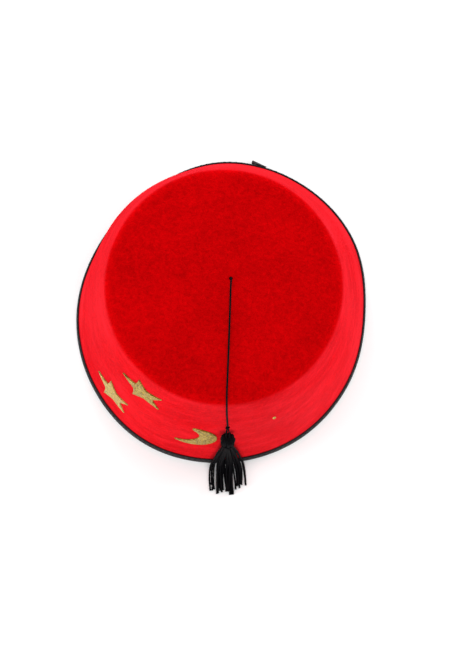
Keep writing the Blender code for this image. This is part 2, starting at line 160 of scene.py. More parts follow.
@dataclass(frozen=True)
class CapForm:
    """Sizes of the cap, and where its surfaces lie. The hem's reaches are shares, every 30 degrees."""

    height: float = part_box("crown")[1].z
    crown_radius: float = 0.070
    edge_radius: float = 0.005
    dome_drop: float = 0.002
    felt: float = 0.002
    hem_radius: float = 0.098
    axis_shift: float = 0.0018
    tape: float = 0.0008
    tape_top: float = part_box("hem_binding")[1].z
    gap: float = 0.0003
    reaches: tuple[float, ...] = (
        0.953, 1.007, 1.018, 1.012, 0.947, 0.926, 0.950, 0.974, 0.998, 0.988, 0.979, 0.962,
    )
    swell: float = 0.0030
    swell_azimuth: float = math.radians(136.0)
    swell_spread: float = math.radians(60.0)

    @property
    def tilt(self) -> float:
        """Slope of the crown where it meets its rounded edge."""
        return math.atan(4 * self.dome_drop / self.edge_centre)

    @property
    def edge_centre(self) -> float:
        """Radius at which the rounded edge has its centre."""
        return self.crown_radius - self.edge_radius

    @property
    def edge_height(self) -> float:
        """Height at which the rounded edge has its centre."""
        return self.height - self.dome_drop - self.edge_radius * math.cos(self.tilt)

    @property
    def mean_reach(self) -> float:
        """Mean of the hem's reaches."""
        return sum(self.reaches) / len(self.reaches)

    def hem_reach(self, azimuth: float) -> float:
        """Share of hem_radius that the hem reaches.

        Args:
            azimuth: direction from the crown's axis.

        Returns:
            The share there, on a smooth closed curve through the reaches.
        """
        count = len(self.reaches)
        place = azimuth % math.tau / math.tau * count
        first = int(place)
        rows = [self.reaches[(first + step) % count] for step in (-1, 0, 1, 2)]
        return smooth_between(*rows, place - first)

    def wall_of(self, reach: float) -> Wall:
        """Line of the wall that ends at a reach of the hem.

        Args:
            reach: share of hem_radius.

        Returns:
            The wall, tangent to the rounded edge.
        """
        foot = self.hem_radius * reach - self.tape - self.gap
        out = foot - self.edge_centre
        down = self.edge_height
        lean = math.acos(self.edge_radius / math.hypot(out, down)) - math.atan2(down, out)
        return Wall(foot, lean)

    def wall_at(self, azimuth: float) -> Wall:
        """Line of the wall at an azimuth."""
        return self.wall_of(self.hem_reach(azimuth))

    def at_azimuth(self, azimuth: float, radius: float, height: float) -> Vector:
        """Point in the model's frame, from its direction and distance from the crown's axis."""
        return Vector((radius * math.cos(azimuth), radius * math.sin(azimuth) - self.axis_shift, height))

    def round_place(self, point: Vector) -> tuple[float, float]:
        """Azimuth of a point and its distance from the crown's axis."""
        across = point.y + self.axis_shift
        return math.atan2(across, point.x), math.hypot(point.x, across)

    def on_wall(self, azimuth: float, slant: float, lift: float) -> Vector:
        """Point on the straight wall or off it.

        Args:
            azimuth: direction from the axis.
            slant: distance down the wall below the crown's level.
            lift: distance off the felt.

        Returns:
            The point in the model's frame.
        """
        wall = self.wall_at(azimuth)
        level = self.height - slant * math.cos(wall.lean)
        radius = wall.radius(level) + lift * math.cos(wall.lean)
        return self.at_azimuth(azimuth, radius, level + lift * math.sin(wall.lean))

    def beside(self, azimuth: float, slant: float, offset: Vector) -> Vector:
        """Point of the wall that lies across, up and off from a spot of it."""
        radius = self.round_place(self.on_wall(azimuth, slant, 0.0))[1]
        return self.on_wall(azimuth + offset.x / radius, slant - offset.y, offset.z)

    def swell_at(self, azimuth: float, share: float) -> float:
        """How far the wall swells out.

        Args:
            azimuth: direction from the axis.
            share: place from the wall's top to the tape.

        Returns:
            The distance outwards.
        """
        away = abs((azimuth - self.swell_azimuth + math.pi) % math.tau - math.pi)
        near = 1.0 + math.cos(math.pi * min(away / self.swell_spread, 1.0))
        return self.swell * near / 2 * 4 * share * (1.0 - share)


FORM = CapForm()


def pick(piece: Piece) -> None:
    """Selects one object alone and makes it the active one.

    Args:
        piece: the object.
    """
    bpy.ops.object.select_all(action="DESELECT")
    bpy.context.view_layer.objects.active = piece
    piece.select_set(True)


@contextmanager
def edit_mode(piece: Piece) -> Iterator[None]:
    """Holds an object in edit mode, at first with its whole mesh selected.

    Args:
        piece: the object.
    """
    pick(piece)
    bpy.ops.object.mode_set(mode="EDIT")
    bpy.ops.mesh.select_all(action="SELECT")
    try:
        yield
    finally:
        bpy.ops.object.mode_set(mode="OBJECT")


def face_outwards() -> None:
    """Points all faces of the edited mesh outwards."""
    bpy.ops.mesh.select_all(action="SELECT")
    bpy.ops.mesh.normals_make_consistent(inside=False)


def stretch(x: float, y: float, z: float) -> None:
    """Scales what is selected from the middle of the scene."""
    bpy.ops.transform.resize(value=(x, y, z), center_override=(0.0, 0.0, 0.0))


def start_from(name: str, add: Callable[..., set[str]], **settings: object) -> Piece:
    """Adds a primitive and names it.

    Args:
        name: name of the new object and its mesh.
        add: the operator that adds the primitive.
        settings: what the operator is given.

    Returns:
        The new object, with its place kept in its mesh.
    """
    bpy.ops.object.select_all(action="DESELECT")
    add(**settings)
    piece = bpy.context.object
    piece.name = name
    piece.data.name = name
    bpy.ops.object.transform_apply(location=True, rotation=True, scale=True)
    return piece


def start_ring(name: str, corners: Sequence[Vector]) -> Piece:
    """Adds a circle of edges and moves its corners.

    Args:
        name: name of the new object.
        corners: where they go, in order.

    Returns:
        The object, whose mesh is a closed line of edges.
    """
    ring = start_from(name, bpy.ops.mesh.primitive_circle_add, vertices=len(corners), radius=0.01)
    for vert, corner in zip(ring.data.vertices, corners):
        vert.co = corner
    return ring


def trace(name: str, points: Sequence[Vector]) -> Piece:
    """Draws a line by extruding one corner from point to point.

    Args:
        name: name of the new object.
        points: where the line turns.

    Returns:
        The object, whose mesh is a line of edges.
    """
    piece = start_from(name, bpy.ops.mesh.primitive_plane_add, size=0.01)
    with edit_mode(piece):
        bpy.ops.mesh.merge(type="CENTER")
        bpy.ops.transform.translate(value=points[0])
        for before, after in zip(points, points[1:]):
            bpy.ops.mesh.extrude_region_move(TRANSFORM_OT_translate={"value": after - before})
    return piece


def spin_round(piece: Piece, steps: int) -> None:
    """Turns the whole mesh round the crown's axis and closes the seam.

    Args:
        piece: the object that holds the profile.
        steps: how many sections the turn has.
    """
    with edit_mode(piece):
        centre = (0.0, -FORM.axis_shift, 0.0)
        bpy.ops.mesh.spin(steps=steps, angle=math.tau, center=centre, axis=(0.0, 0.0, 1.0))
        bpy.ops.mesh.select_all(action="SELECT")
        bpy.ops.mesh.remove_doubles(threshold=1e-6)
        face_outwards()


def shape_points(piece: Piece, move: Callable[[Vector], Vector]) -> None:
    """Moves each vertex of a mesh.

    Args:
        piece: the object to shape.
        move: gives the new place of a point.
    """
    for vert in piece.data.vertices:
        vert.co = move(vert.co)
    piece.data.update()


def apply_modifier(piece: Piece, kind: str, **settings: object) -> None:
    """Adds a modifier and applies it.

    Args:
        piece: the object that it changes.
        kind: the modifier's type.
        settings: its values.
    """
    modifier = piece.modifiers.new(kind.title(), kind)
    for key, value in settings.items():
        setattr(modifier, key, value)
    pick(piece)
    bpy.ops.object.modifier_apply(modifier=modifier.name)


def shade(piece: Piece, angle: float = math.radians(42.0)) -> None:
    """Shades a piece smooth, except across edges sharper than an angle."""
    pick(piece)
    bpy.ops.object.shade_smooth_by_angle(angle=angle)


def dress(piece: Piece, finish: Material, slot: str, *replaces: str) -> Piece:
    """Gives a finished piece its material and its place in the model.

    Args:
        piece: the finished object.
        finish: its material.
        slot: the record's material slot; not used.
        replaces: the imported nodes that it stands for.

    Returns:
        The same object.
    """
    piece.data.materials.clear()
    piece.data.materials.append(finish)
    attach(piece, "root")
    if replaces:
        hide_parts(*replaces)
    LOG.info("%s: %d faces, finish %s", piece.name, len(piece.data.polygons), finish.name)
    return piece


class Board:
    """Adds and joins the nodes of one shader tree."""

    def __init__(self, tree: bpy.types.NodeTree) -> None:
        """Takes the tree and empties it."""
        self.tree = tree
        tree.nodes.clear()

    def add(self, kind: str, settings: dict[str, object] | None = None, **inputs: Feed) -> bpy.types.Node:
        """Adds a node.

        Args:
            kind: the node's type.
            settings: its properties.
            inputs: a value or an output for each input, by its name in lower case, with underscores
                for spaces. A name such as in_0 gives the input's number.

        Returns:
            The node.
        """
        node = self.tree.nodes.new(kind)
        for key, value in (settings or {}).items():
            setattr(node, key, value)
        for key, value in inputs.items():
            if key.startswith("in_"):
                socket = node.inputs[int(key[3:])]
            else:
                socket = next(s for s in node.inputs if s.name.lower().replace(" ", "_") == key)
            if isinstance(value, Socket):
                self.tree.links.new(value, socket)
            else:
                socket.default_value = value
        return node

    def take(self, kind: str, settings: dict[str, object] | None = None, **inputs: Feed) -> Socket:
        """First output of a new node."""
        return self.add(kind, settings, **inputs).outputs[0]

    def math(self, operation: str, first: Feed, second: Feed = 0.0) -> Socket:
        """Output of a Math node."""
        return self.take("ShaderNodeMath", {"operation": operation}, in_0=first, in_1=second)

    def vector_math(self, operation: str, **inputs: Feed) -> Socket:
        """Output of a Vector Math node."""
        return self.take("ShaderNodeVectorMath", {"operation": operation}, **inputs)

    def weigh(self, *parts: tuple[Socket, float]) -> Socket:
        """Weighted sum.

        Args:
            parts: each value and its weight.

        Returns:
            The sum's output.
        """
        total = self.math("MULTIPLY", *parts[0])
        for part in parts[1:]:
            total = self.math("ADD", total, self.math("MULTIPLY", *part))
        return total

    def spread(
        self, value: Feed, low: float, high: float, start: float = 0.0, end: float = 1.0
    ) -> Socket:
        """Value brought from between low and high to between start and end."""
        ends = {"from_min": low, "from_max": high, "to_min": start, "to_max": end}
        return self.take("ShaderNodeMapRange", value=value, **ends)

    def noise(self, vector: Feed, scale: Feed, detail: float, roughness: float) -> Socket:
        """Output of a Noise Texture, from 0 to 1."""
        settings = {"scale": scale, "detail": detail, "roughness": roughness}
        return self.take("ShaderNodeTexNoise", vector=vector, **settings)

    def waves(self, value: Feed, length: float) -> Socket:
        """Waves of a length along a value, from 0 to 1."""
        sine = self.math("SINE", self.math("MULTIPLY", value, math.tau / length))
        return self.take("ShaderNodeMath", {"operation": "MULTIPLY_ADD"}, in_0=sine, in_1=0.5, in_2=0.5)

    def blend(self, share: Feed, first: Feed, second: Feed) -> Socket:
        """Colour between two others.

        Args:
            share: value or output from 0 to 1.
            first: colour or output at 0.
            second: colour or output at 1.

        Returns:
            The mixed colour's output.
        """
        first, second = ((*feed, 1.0) if isinstance(feed, tuple) else feed for feed in (first, second))
        mixer = self.add("ShaderNodeMix", {"data_type": "RGBA"}, in_0=share, in_6=first, in_7=second)
        return mixer.outputs[2]

    def ramp(self, share: Feed, stops: Sequence[tuple[float, Colour]]) -> Socket:
        """Output of a Color Ramp.

        Args:
            share: value or output from 0 to 1.
            stops: place and colour of each stop.

        Returns:
            The ramp's colour output.
        """
        node = self.add("ShaderNodeValToRGB", in_0=share)
        elements = node.color_ramp.elements
        while len(elements) < len(stops):
            elements.new(0.5)
        for element, (place, colour) in zip(elements, stops):
            element.position = place
            element.color = (*colour, 1.0)
        return node.outputs[0]


Paint = Callable[[Board, bpy.types.bpy_prop_collection], Socket]


def mask_group(name: str, values: dict[str, float], paint: Paint) -> bpy.types.NodeTree:
    """Makes a shader group that turns coordinates into a mask.

    Args:
        name: the group's name.
        values: name and value of each number that it takes.
        paint: adds the nodes to a board and gives the mask's output, from the group's inputs.

    Returns:
        The group, with a Mask output from 0 to 1.
    """
    tree = bpy.data.node_groups.new(name, "ShaderNodeTree")
    tree.interface.new_socket("Vector", in_out="INPUT", socket_type="NodeSocketVector")
    for label, value in values.items():
        socket = tree.interface.new_socket(label, in_out="INPUT", socket_type="NodeSocketFloat")
        socket.default_value = value
    tree.interface.new_socket("Mask", in_out="OUTPUT", socket_type="NodeSocketFloat")
    board = Board(tree)
    board.add("NodeGroupOutput", mask=paint(board, board.add("NodeGroupInput").outputs))
    return tree


def paint_fibres(board: Board, given: bpy.types.bpy_prop_collection) -> Socket:
    """Mask of matted fibres: thin streaks that lie in three directions.

    Args:
        board: the group's board.
        given: the group's inputs.

    Returns:
        The mask's output.
    """
    squeeze = board.take("ShaderNodeCombineXYZ", x=given["Stretch"], y=1.0, z=1.0)
    streaks = []
    for turn in ((0.3, 0.5, 0.2), (1.2, -0.4, 0.9), (-0.7, 0.8, 1.9)):
        turned = board.take("ShaderNodeMapping", vector=given["Vector"], rotation=turn)
        scaled = board.take("ShaderNodeMapping", vector=turned, scale=squeeze)
        streaks.append(board.noise(scaled, given["Scale"], detail=2.0, roughness=0.6))
    most = board.math("MAXIMUM", board.math("MAXIMUM", streaks[0], streaks[1]), streaks[2])
    return board.spread(most, 0.42, 0.78)


def paint_blotches(board: Board, given: bpy.types.bpy_prop_collection) -> Socket:
    """Mask of slow changes of tone over a surface."""
    soft = board.noise(given["Vector"], given["Scale"], detail=3.0, roughness=0.55)
    return board.spread(soft, 0.3, 0.7)


class Effects:
    """The shader groups that several finishes share."""

    def __init__(self) -> None:
        """Builds each group once."""
        self.fibres = mask_group("fibre_grain", {"Scale": 900.0, "Stretch": 0.25}, paint_fibres)
        self.blotches = mask_group("blotch", {"Scale": 30.0}, paint_blotches)

    def grain(self, board: Board, vector: Socket, scale: float, stretch: float) -> Socket:
        """Fibres of a fineness, and of a width that is a share of their length."""
        settings = {"node_tree": self.fibres}
        return board.take("ShaderNodeGroup", settings, vector=vector, scale=scale, stretch=stretch)

    def tone(self, board: Board, vector: Socket, scale: float) -> Socket:
        """Blotches of a fineness."""
        return board.take("ShaderNodeGroup", {"node_tree": self.blotches}, vector=vector, scale=scale)


@dataclass(frozen=True)
class Finish:
    """What every finish has: a name, shader values that are the same all over, and a bump's depth."""

    name: str
    sockets: Sockets = ()
    bump: float = 0.5
    bump_depth: float = 0.0001

    def build(self, effects: Effects) -> Material:
        """Makes the material.

        Args:
            effects: the shared shader groups.

        Returns:
            The material.
        """
        made = bpy.data.materials.new(self.name)
        made.use_nodes = True
        board = Board(made.node_tree)
        shader = board.add("ShaderNodeBsdfPrincipled")
        board.add("ShaderNodeOutputMaterial", surface=shader.outputs[0])
        for label, value in self.sockets:
            shader.inputs[label].default_value = value
        for label, output in self.pattern(board, effects).items():
            made.node_tree.links.new(output, shader.inputs[label])
        return made

    def pattern(self, board: Board, effects: Effects) -> dict[str, Socket]:
        """What changes over the surface: an output for each input of the shader that it feeds."""
        return {}

    def bumps(self, board: Board, height: Socket) -> Socket:
        """Normal that follows a height."""
        return board.take("ShaderNodeBump", height=height, strength=self.bump, distance=self.bump_depth)


@dataclass(frozen=True)
class FeltFinish(Finish):
    """Brushed felt: matted fibres, slow changes of tone, and on the wall painted sheen: lighter bands
    round it, lighter patches, and nap lightened pink.
    """

    name: str = "red_felt_brushed"
    deep: Colour = (0.26, 0.0003, 0.0007)
    bright: Colour = (0.60, 0.0007, 0.0018)
    fibre_scale: float = 420.0
    fibre_width: float = 0.28
    speckle_scale: float = 900.0
    speckle_width: float = 0.6
    tone_scale: float = 26.0
    # Painted sheen: lighter red bands that run round the wall.
    band: Colour = (0.76, 0.009, 0.018)
    sheen_band_strength: float = 0.30
    sheen_band_squash: Triple = (42.0, 42.0, 130.0)
    # Painted sheen: lighter pink patches on the wall.
    painted_sheen: Colour = (0.95, 0.085, 0.11)
    painted_sheen_scale: float = 15.0
    painted_sheen_strength: float = 0.08
    # Fibre nap round the wall: real grain, drawn lighter and pinker on the wall alone as painted sheen.
    nap_and_sheen: Colour = (0.90, 0.020, 0.034)
    nap_scale: float = 330.0
    nap_width: float = 0.8
    nap_squash: Triple = (0.4, 0.4, 1.0)
    nap_and_sheen_strength: float = 0.11
    bump: float = 0.55
    bump_depth: float = 0.00035
    sockets: Sockets = (
        ("Roughness", 1.0),
        ("Specular IOR Level", 0.0),
        ("Sheen Weight", 0.30),
        ("Sheen Roughness", 0.34),
        ("Sheen Tint", (1.0, 0.06, 0.095, 1.0)),
    )

    def pattern(self, board: Board, effects: Effects) -> dict[str, Socket]:
        """Felt all over, and on the wall alone painted sheen: lighter bands and patches, and nap fibres
        lightened pink.

        Args:
            board: the material's board.
            effects: the shared shader groups.

        Returns:
            The colour and the normal.
        """
        place = board.add("ShaderNodeTexCoord").outputs["Object"]
        fibres = effects.grain(board, place, self.fibre_scale, self.fibre_width)
        speckle = effects.grain(board, place, self.speckle_scale, self.speckle_width)
        tone = effects.tone(board, place, self.tone_scale)
        share = board.weigh((fibres, 0.45), (speckle, 0.35), (tone, 0.25))
        colour = board.blend(share, self.deep, self.bright)
        normal = board.add("ShaderNodeNewGeometry").outputs["Normal"]
        upright = board.add("ShaderNodeSeparateXYZ", vector=normal).outputs["Z"]
        # Mask of the steep wall: the blends below paint sheen there, so the wall is lighter and pinker
        # than the crown.
        wall = board.spread(board.math("ABSOLUTE", upright), 0.26, 0.66, 1.0, 0.0)
        # Painted sheen: lighter bands that run round the wall.
        flat = board.take("ShaderNodeMapping", vector=place, scale=self.sheen_band_squash)
        sheen_bands = board.spread(board.noise(flat, 1.0, detail=2.0, roughness=0.5), 0.46, 0.74)
        # Painted sheen: lighter pink patches on the wall.
        painted_sheen = effects.tone(board, place, self.painted_sheen_scale)
        # Fibre nap: real grain, lightened pink on the wall alone as painted sheen.
        laid = board.take("ShaderNodeMapping", vector=place, scale=self.nap_squash)
        nap_and_sheen = effects.grain(board, laid, self.nap_scale, self.nap_width)
        for mask, strength, tint in (
            (sheen_bands, self.sheen_band_strength, self.band),
            (painted_sheen, self.painted_sheen_strength, self.painted_sheen),
            (nap_and_sheen, self.nap_and_sheen_strength, self.nap_and_sheen),
        ):
            share = board.math("MULTIPLY", board.math("MULTIPLY", mask, wall), strength)
            colour = board.blend(share, colour, tint)
        height = board.weigh((fibres, 1.0), (speckle, 0.6))
        return {"Base Color": colour, "Normal": self.bumps(board, height)}


@dataclass(frozen=True)
class TapeFinish(Finish):
    """Ribbed binding tape, woven across its length, on the tape's own UV map in metres."""

    name: str = "black_tape_ribbed"
    low: Colour = (0.0045, 0.0038, 0.0042)
    high: Colour = (0.017, 0.0145, 0.016)
    rib: float = 0.0006
    weft: float = 0.0006 * 0.7
    grain_scale: float = 1800.0
    grain_width: float = 0.3
    tone_scale: float = 60.0
    bump: float = 0.7
    bump_depth: float = 0.00012
    sockets: Sockets = (
        ("Roughness", 0.85),
        ("Specular IOR Level", 0.10),
        ("Sheen Weight", 0.04),
        ("Sheen Roughness", 0.5),
    )

    def pattern(self, board: Board, effects: Effects) -> dict[str, Socket]:
        """Ribs across the tape, crossed by its weft.

        Args:
            board: the material's board.
            effects: the shared shader groups.

        Returns:
            The colour and the normal.
        """
        coordinates = board.add("ShaderNodeTexCoord").outputs
        across = board.add("ShaderNodeSeparateXYZ", vector=coordinates["UV"]).outputs
        ribs = board.waves(across["X"], self.rib)
        weft = board.waves(across["Y"], self.weft)
        grain = effects.grain(board, coordinates["Object"], self.grain_scale, self.grain_width)
        tone = effects.tone(board, coordinates["Object"], self.tone_scale)
        share = board.weigh((ribs, 0.55), (grain, 0.25), (tone, 0.20))
        height = board.weigh((ribs, 1.0), (weft, 0.35), (grain, 0.4))
        colour = board.blend(share, self.low, self.high)
        return {"Base Color": colour, "Normal": self.bumps(board, height)}


@dataclass(frozen=True)
class GlitterFinish(Finish):
    """Glitter sheet: small flakes, each with its own tone and tilt."""

    name: str = "gold_glitter_sheet"
    dark: Colour = (0.062, 0.038, 0.004)
    gold: Colour = (0.24, 0.155, 0.022)
    pale: Colour = (0.51, 0.365, 0.088)
    flake_scale: float = 2300.0
    tone_scale: float = 620.0
    tilt: float = 0.85
    bump: float = 0.4
    bump_depth: float = 0.0002
    sockets: Sockets = (("Metallic", 0.35), ("Specular IOR Level", 0.04))

    def pattern(self, board: Board, effects: Effects) -> dict[str, Socket]:
        """Flakes with a tone, a roughness and a tilt of their own.

        Args:
            board: the material's board.
            effects: the shared shader groups.

        Returns:
            The colour, the roughness and the normal.
        """
        place = board.add("ShaderNodeTexCoord").outputs["Object"]
        flakes = board.add("ShaderNodeTexVoronoi", vector=place, scale=self.flake_scale).outputs
        chance = board.add("ShaderNodeSeparateColor", color=flakes["Color"]).outputs
        tone = effects.tone(board, place, self.tone_scale)
        share = board.weigh((chance[0], 0.55), (tone, 0.45))
        colour = board.ramp(share, [(0.12, self.dark), (0.45, self.gold), (0.85, self.pale)])
        rough = board.spread(chance[1], 0.0, 1.0, 0.22, 0.6)
        centred = board.vector_math("SUBTRACT", in_0=flakes["Color"], in_1=(0.5, 0.5, 0.5))
        tilt = board.vector_math("SCALE", in_0=centred, scale=self.tilt)
        normal = board.add("ShaderNodeNewGeometry").outputs["Normal"]
        turned = board.vector_math("NORMALIZE", in_0=board.vector_math("ADD", in_0=normal, in_1=tilt))
        bump = self.bumps(board, flakes["Distance"])
        bump.node.invert = True
        board.tree.links.new(turned, bump.node.inputs["Normal"])
        return {"Base Color": colour, "Roughness": rough, "Normal": bump}


@dataclass(frozen=True)
class ThreadFinish(Finish):
    """Twisted thread: fine fibres that run slantwise round it, on each thread's own UV map."""

    name: str = "black_thread_twisted"
    low: Colour = (0.0008, 0.0007, 0.0010)
    high: Colour = (0.0040, 0.0036, 0.0050)
    fibre_pitch: float = 0.0016
    fibres_round: int = 5
    grain_scale: float = 2600.0
    grain_width: float = 0.4
    tone_scale: float = 150.0
    bump_depth: float = 0.00008
    sockets: Sockets = (("Roughness", 0.6), ("Specular IOR Level", 0.04))

    def pattern(self, board: Board, effects: Effects) -> dict[str, Socket]:
        """Slanting fibres and a fine grain.

        Args:
            board: the material's board.
            effects: the shared shader groups.

        Returns:
            The colour and the normal.
        """
        coordinates = board.add("ShaderNodeTexCoord").outputs
        place = board.add("ShaderNodeSeparateXYZ", vector=coordinates["UV"]).outputs
        turns = board.weigh(
            (place["X"], math.tau / self.fibre_pitch), (place["Y"], math.tau * self.fibres_round)
        )
        fibres = board.math("SINE", turns)
        grain = effects.grain(board, coordinates["Object"], self.grain_scale, self.grain_width)
        tone = effects.tone(board, coordinates["Object"], self.tone_scale)
        colour = board.blend(board.weigh((grain, 0.6), (tone, 0.4)), self.low, self.high)
        height = board.weigh((fibres, 0.3), (grain, 1.0))
        return {"Base Color": colour, "Normal": self.bumps(board, height)}


@dataclass(frozen=True)
class FloorFinish(Finish):
    """Plain pale floor."""

    name: str = "pale_floor"
    # Darker copy of the tape for its loose end: painted shade, as that end lies in shade at the back.
    low: Colour = (0.94, 0.94, 0.94)
    high: Colour = (0.96, 0.96, 0.96)
    tone_scale: float = 3.0
    sockets: Sockets = (("Roughness", 0.9), ("Specular IOR Level", 0.1))

    def pattern(self, board: Board, effects: Effects) -> dict[str, Socket]:
        """Very faint blotches.

        Args:
            board: the material's board.
            effects: the shared shader groups.

        Returns:
            The colour.
        """
        place = board.add("ShaderNodeTexCoord").outputs["Object"]
        tone = effects.tone(board, place, self.tone_scale)
        return {"Base Color": board.blend(tone, self.low, self.high)}


@dataclass
class FeltCap:
    """The felt cap: crown and wall in one piece, pressed on a block, with a hole for the cord."""

    finish: Material
    hole: tuple[float, float] = (0.0041, 0.0023)
    hole_radius: float = 0.0011
    dimple: float = 0.0007
    dimple_radius: float = 0.006
    unevenness: float = 0.0005
    uneven_turns: float = 2.3
    uneven_rise: float = 22.0
    crown_turns: float = 26.0
    ripple: float = 0.00030
    ripple_turns: float = 1.7
    ripple_rise: float = 95.0
    softness: float = 0.0021
    around: int = 240
    fine: float = 0.0005
    rows: int = 92

    def outline(self) -> np.ndarray:
        """Finely stepped outline of a round cap of the mean reach, from the hole to the hem.

        Returns:
            Radius and height of each point.
        """
        form = FORM
        wall = form.wall_of(form.mean_reach)
        top_end = form.edge_centre + form.edge_radius * math.sin(form.tilt)
        radii = np.arange(self.hole_radius, top_end, self.fine)
        top = np.column_stack([radii, form.height - form.dome_drop * (radii / top_end) ** 4])
        angles = np.linspace(QUARTER - form.tilt, wall.lean, 16)
        rounded = np.column_stack([np.cos(angles), np.sin(angles)])
        edge = np.array([form.edge_centre, form.edge_height]) + form.edge_radius * rounded
        bottom = form.tape + form.gap + form.felt * math.sin(wall.lean)
        heights = np.append(np.arange(edge[-1][1] - self.fine, bottom, -self.fine), bottom)
        side = np.column_stack([wall.foot - heights * math.tan(wall.lean), heights])
        return np.concatenate([top, edge, side])

    def profile(self) -> list[Vector]:
        """Outline with the softened edge that pressed felt has.

        Returns:
            Points above +X from the crown's axis.
        """
        outline = self.outline()
        lengths = lengths_along(outline)
        shares = np.linspace(0.0, 1.0, self.rows + 1)
        points = []
        for want in lengths[-1] * (0.35 * shares**1.6 + 0.65 * shares):
            reach = min(want, lengths[-1] - want, 2.5 * self.softness)
            near = np.abs(lengths - want) <= reach + 1e-6
            weights = np.exp(-(((lengths[near] - want) / self.softness) ** 2))
            radius, height = np.average(outline[near], axis=0, weights=weights)
            if reach < self.fine:
                radius, height = (np.interp(want, lengths, outline[:, column]) for column in (0, 1))
            points.append(Vector((radius, -FORM.axis_shift, height)))
        return points

    def pull(self, point: Vector) -> Vector:
        """New place of a point of the round cap.

        Args:
            point: its place on the round cap.

        Returns:
            Its place on the real one, whose hem is dented and whose felt is a little uneven.
        """
        form = FORM
        azimuth, radius = form.round_place(point)
        if radius < form.edge_centre:
            inner = 1.0 - radius / form.edge_centre
            centre = Vector((self.hole[0], self.hole[1] + form.axis_shift, 0.0)) * inner
            lower = self.dimple * math.exp(-((radius / self.dimple_radius) ** 2))
            uneven = noise.noise(Vector((point.x * self.crown_turns, point.y * self.crown_turns, 3.0)))
            lift = self.unevenness * uneven * 4 * inner * (1.0 - inner)
            return point + centre + Vector((0.0, 0.0, lift - lower))
        height = point.z
        mean = form.wall_of(form.mean_reach)
        top = form.edge_height + form.edge_radius * math.sin(mean.lean)
        level = min(height, top)
        share = min(max((top - height) / (top - form.tape_top - form.felt), 0.0), 1.0)
        below = eased((form.edge_height + form.edge_radius - height) / form.edge_radius)
        outwards = (form.wall_at(azimuth).radius(level) - mean.radius(level)) * below
        outwards += form.swell_at(azimuth, share)
        waves = self.ripple * waver(azimuth, self.ripple_turns, rise=height * self.ripple_rise)
        rise = height * self.uneven_rise
        waves += self.unevenness * waver(azimuth, self.uneven_turns, rise, shift=5.0)
        outwards += waves * 4 * share * (1.0 - share)
        return form.at_azimuth(azimuth, radius + outwards, height)

    def build(self) -> Piece:
        """Spins the profile, pulls it into shape and gives the felt its thickness.

        Returns:
            The felt cap.
        """
        cap = trace("crown_felt", self.profile())
        spin_round(cap, self.around)
        shape_points(cap, self.pull)
        apply_modifier(cap, "SOLIDIFY", thickness=FORM.felt, offset=-1.0, use_even_offset=True)
        shade(cap)
        return dress(cap, self.finish, "red_felt", "crown")


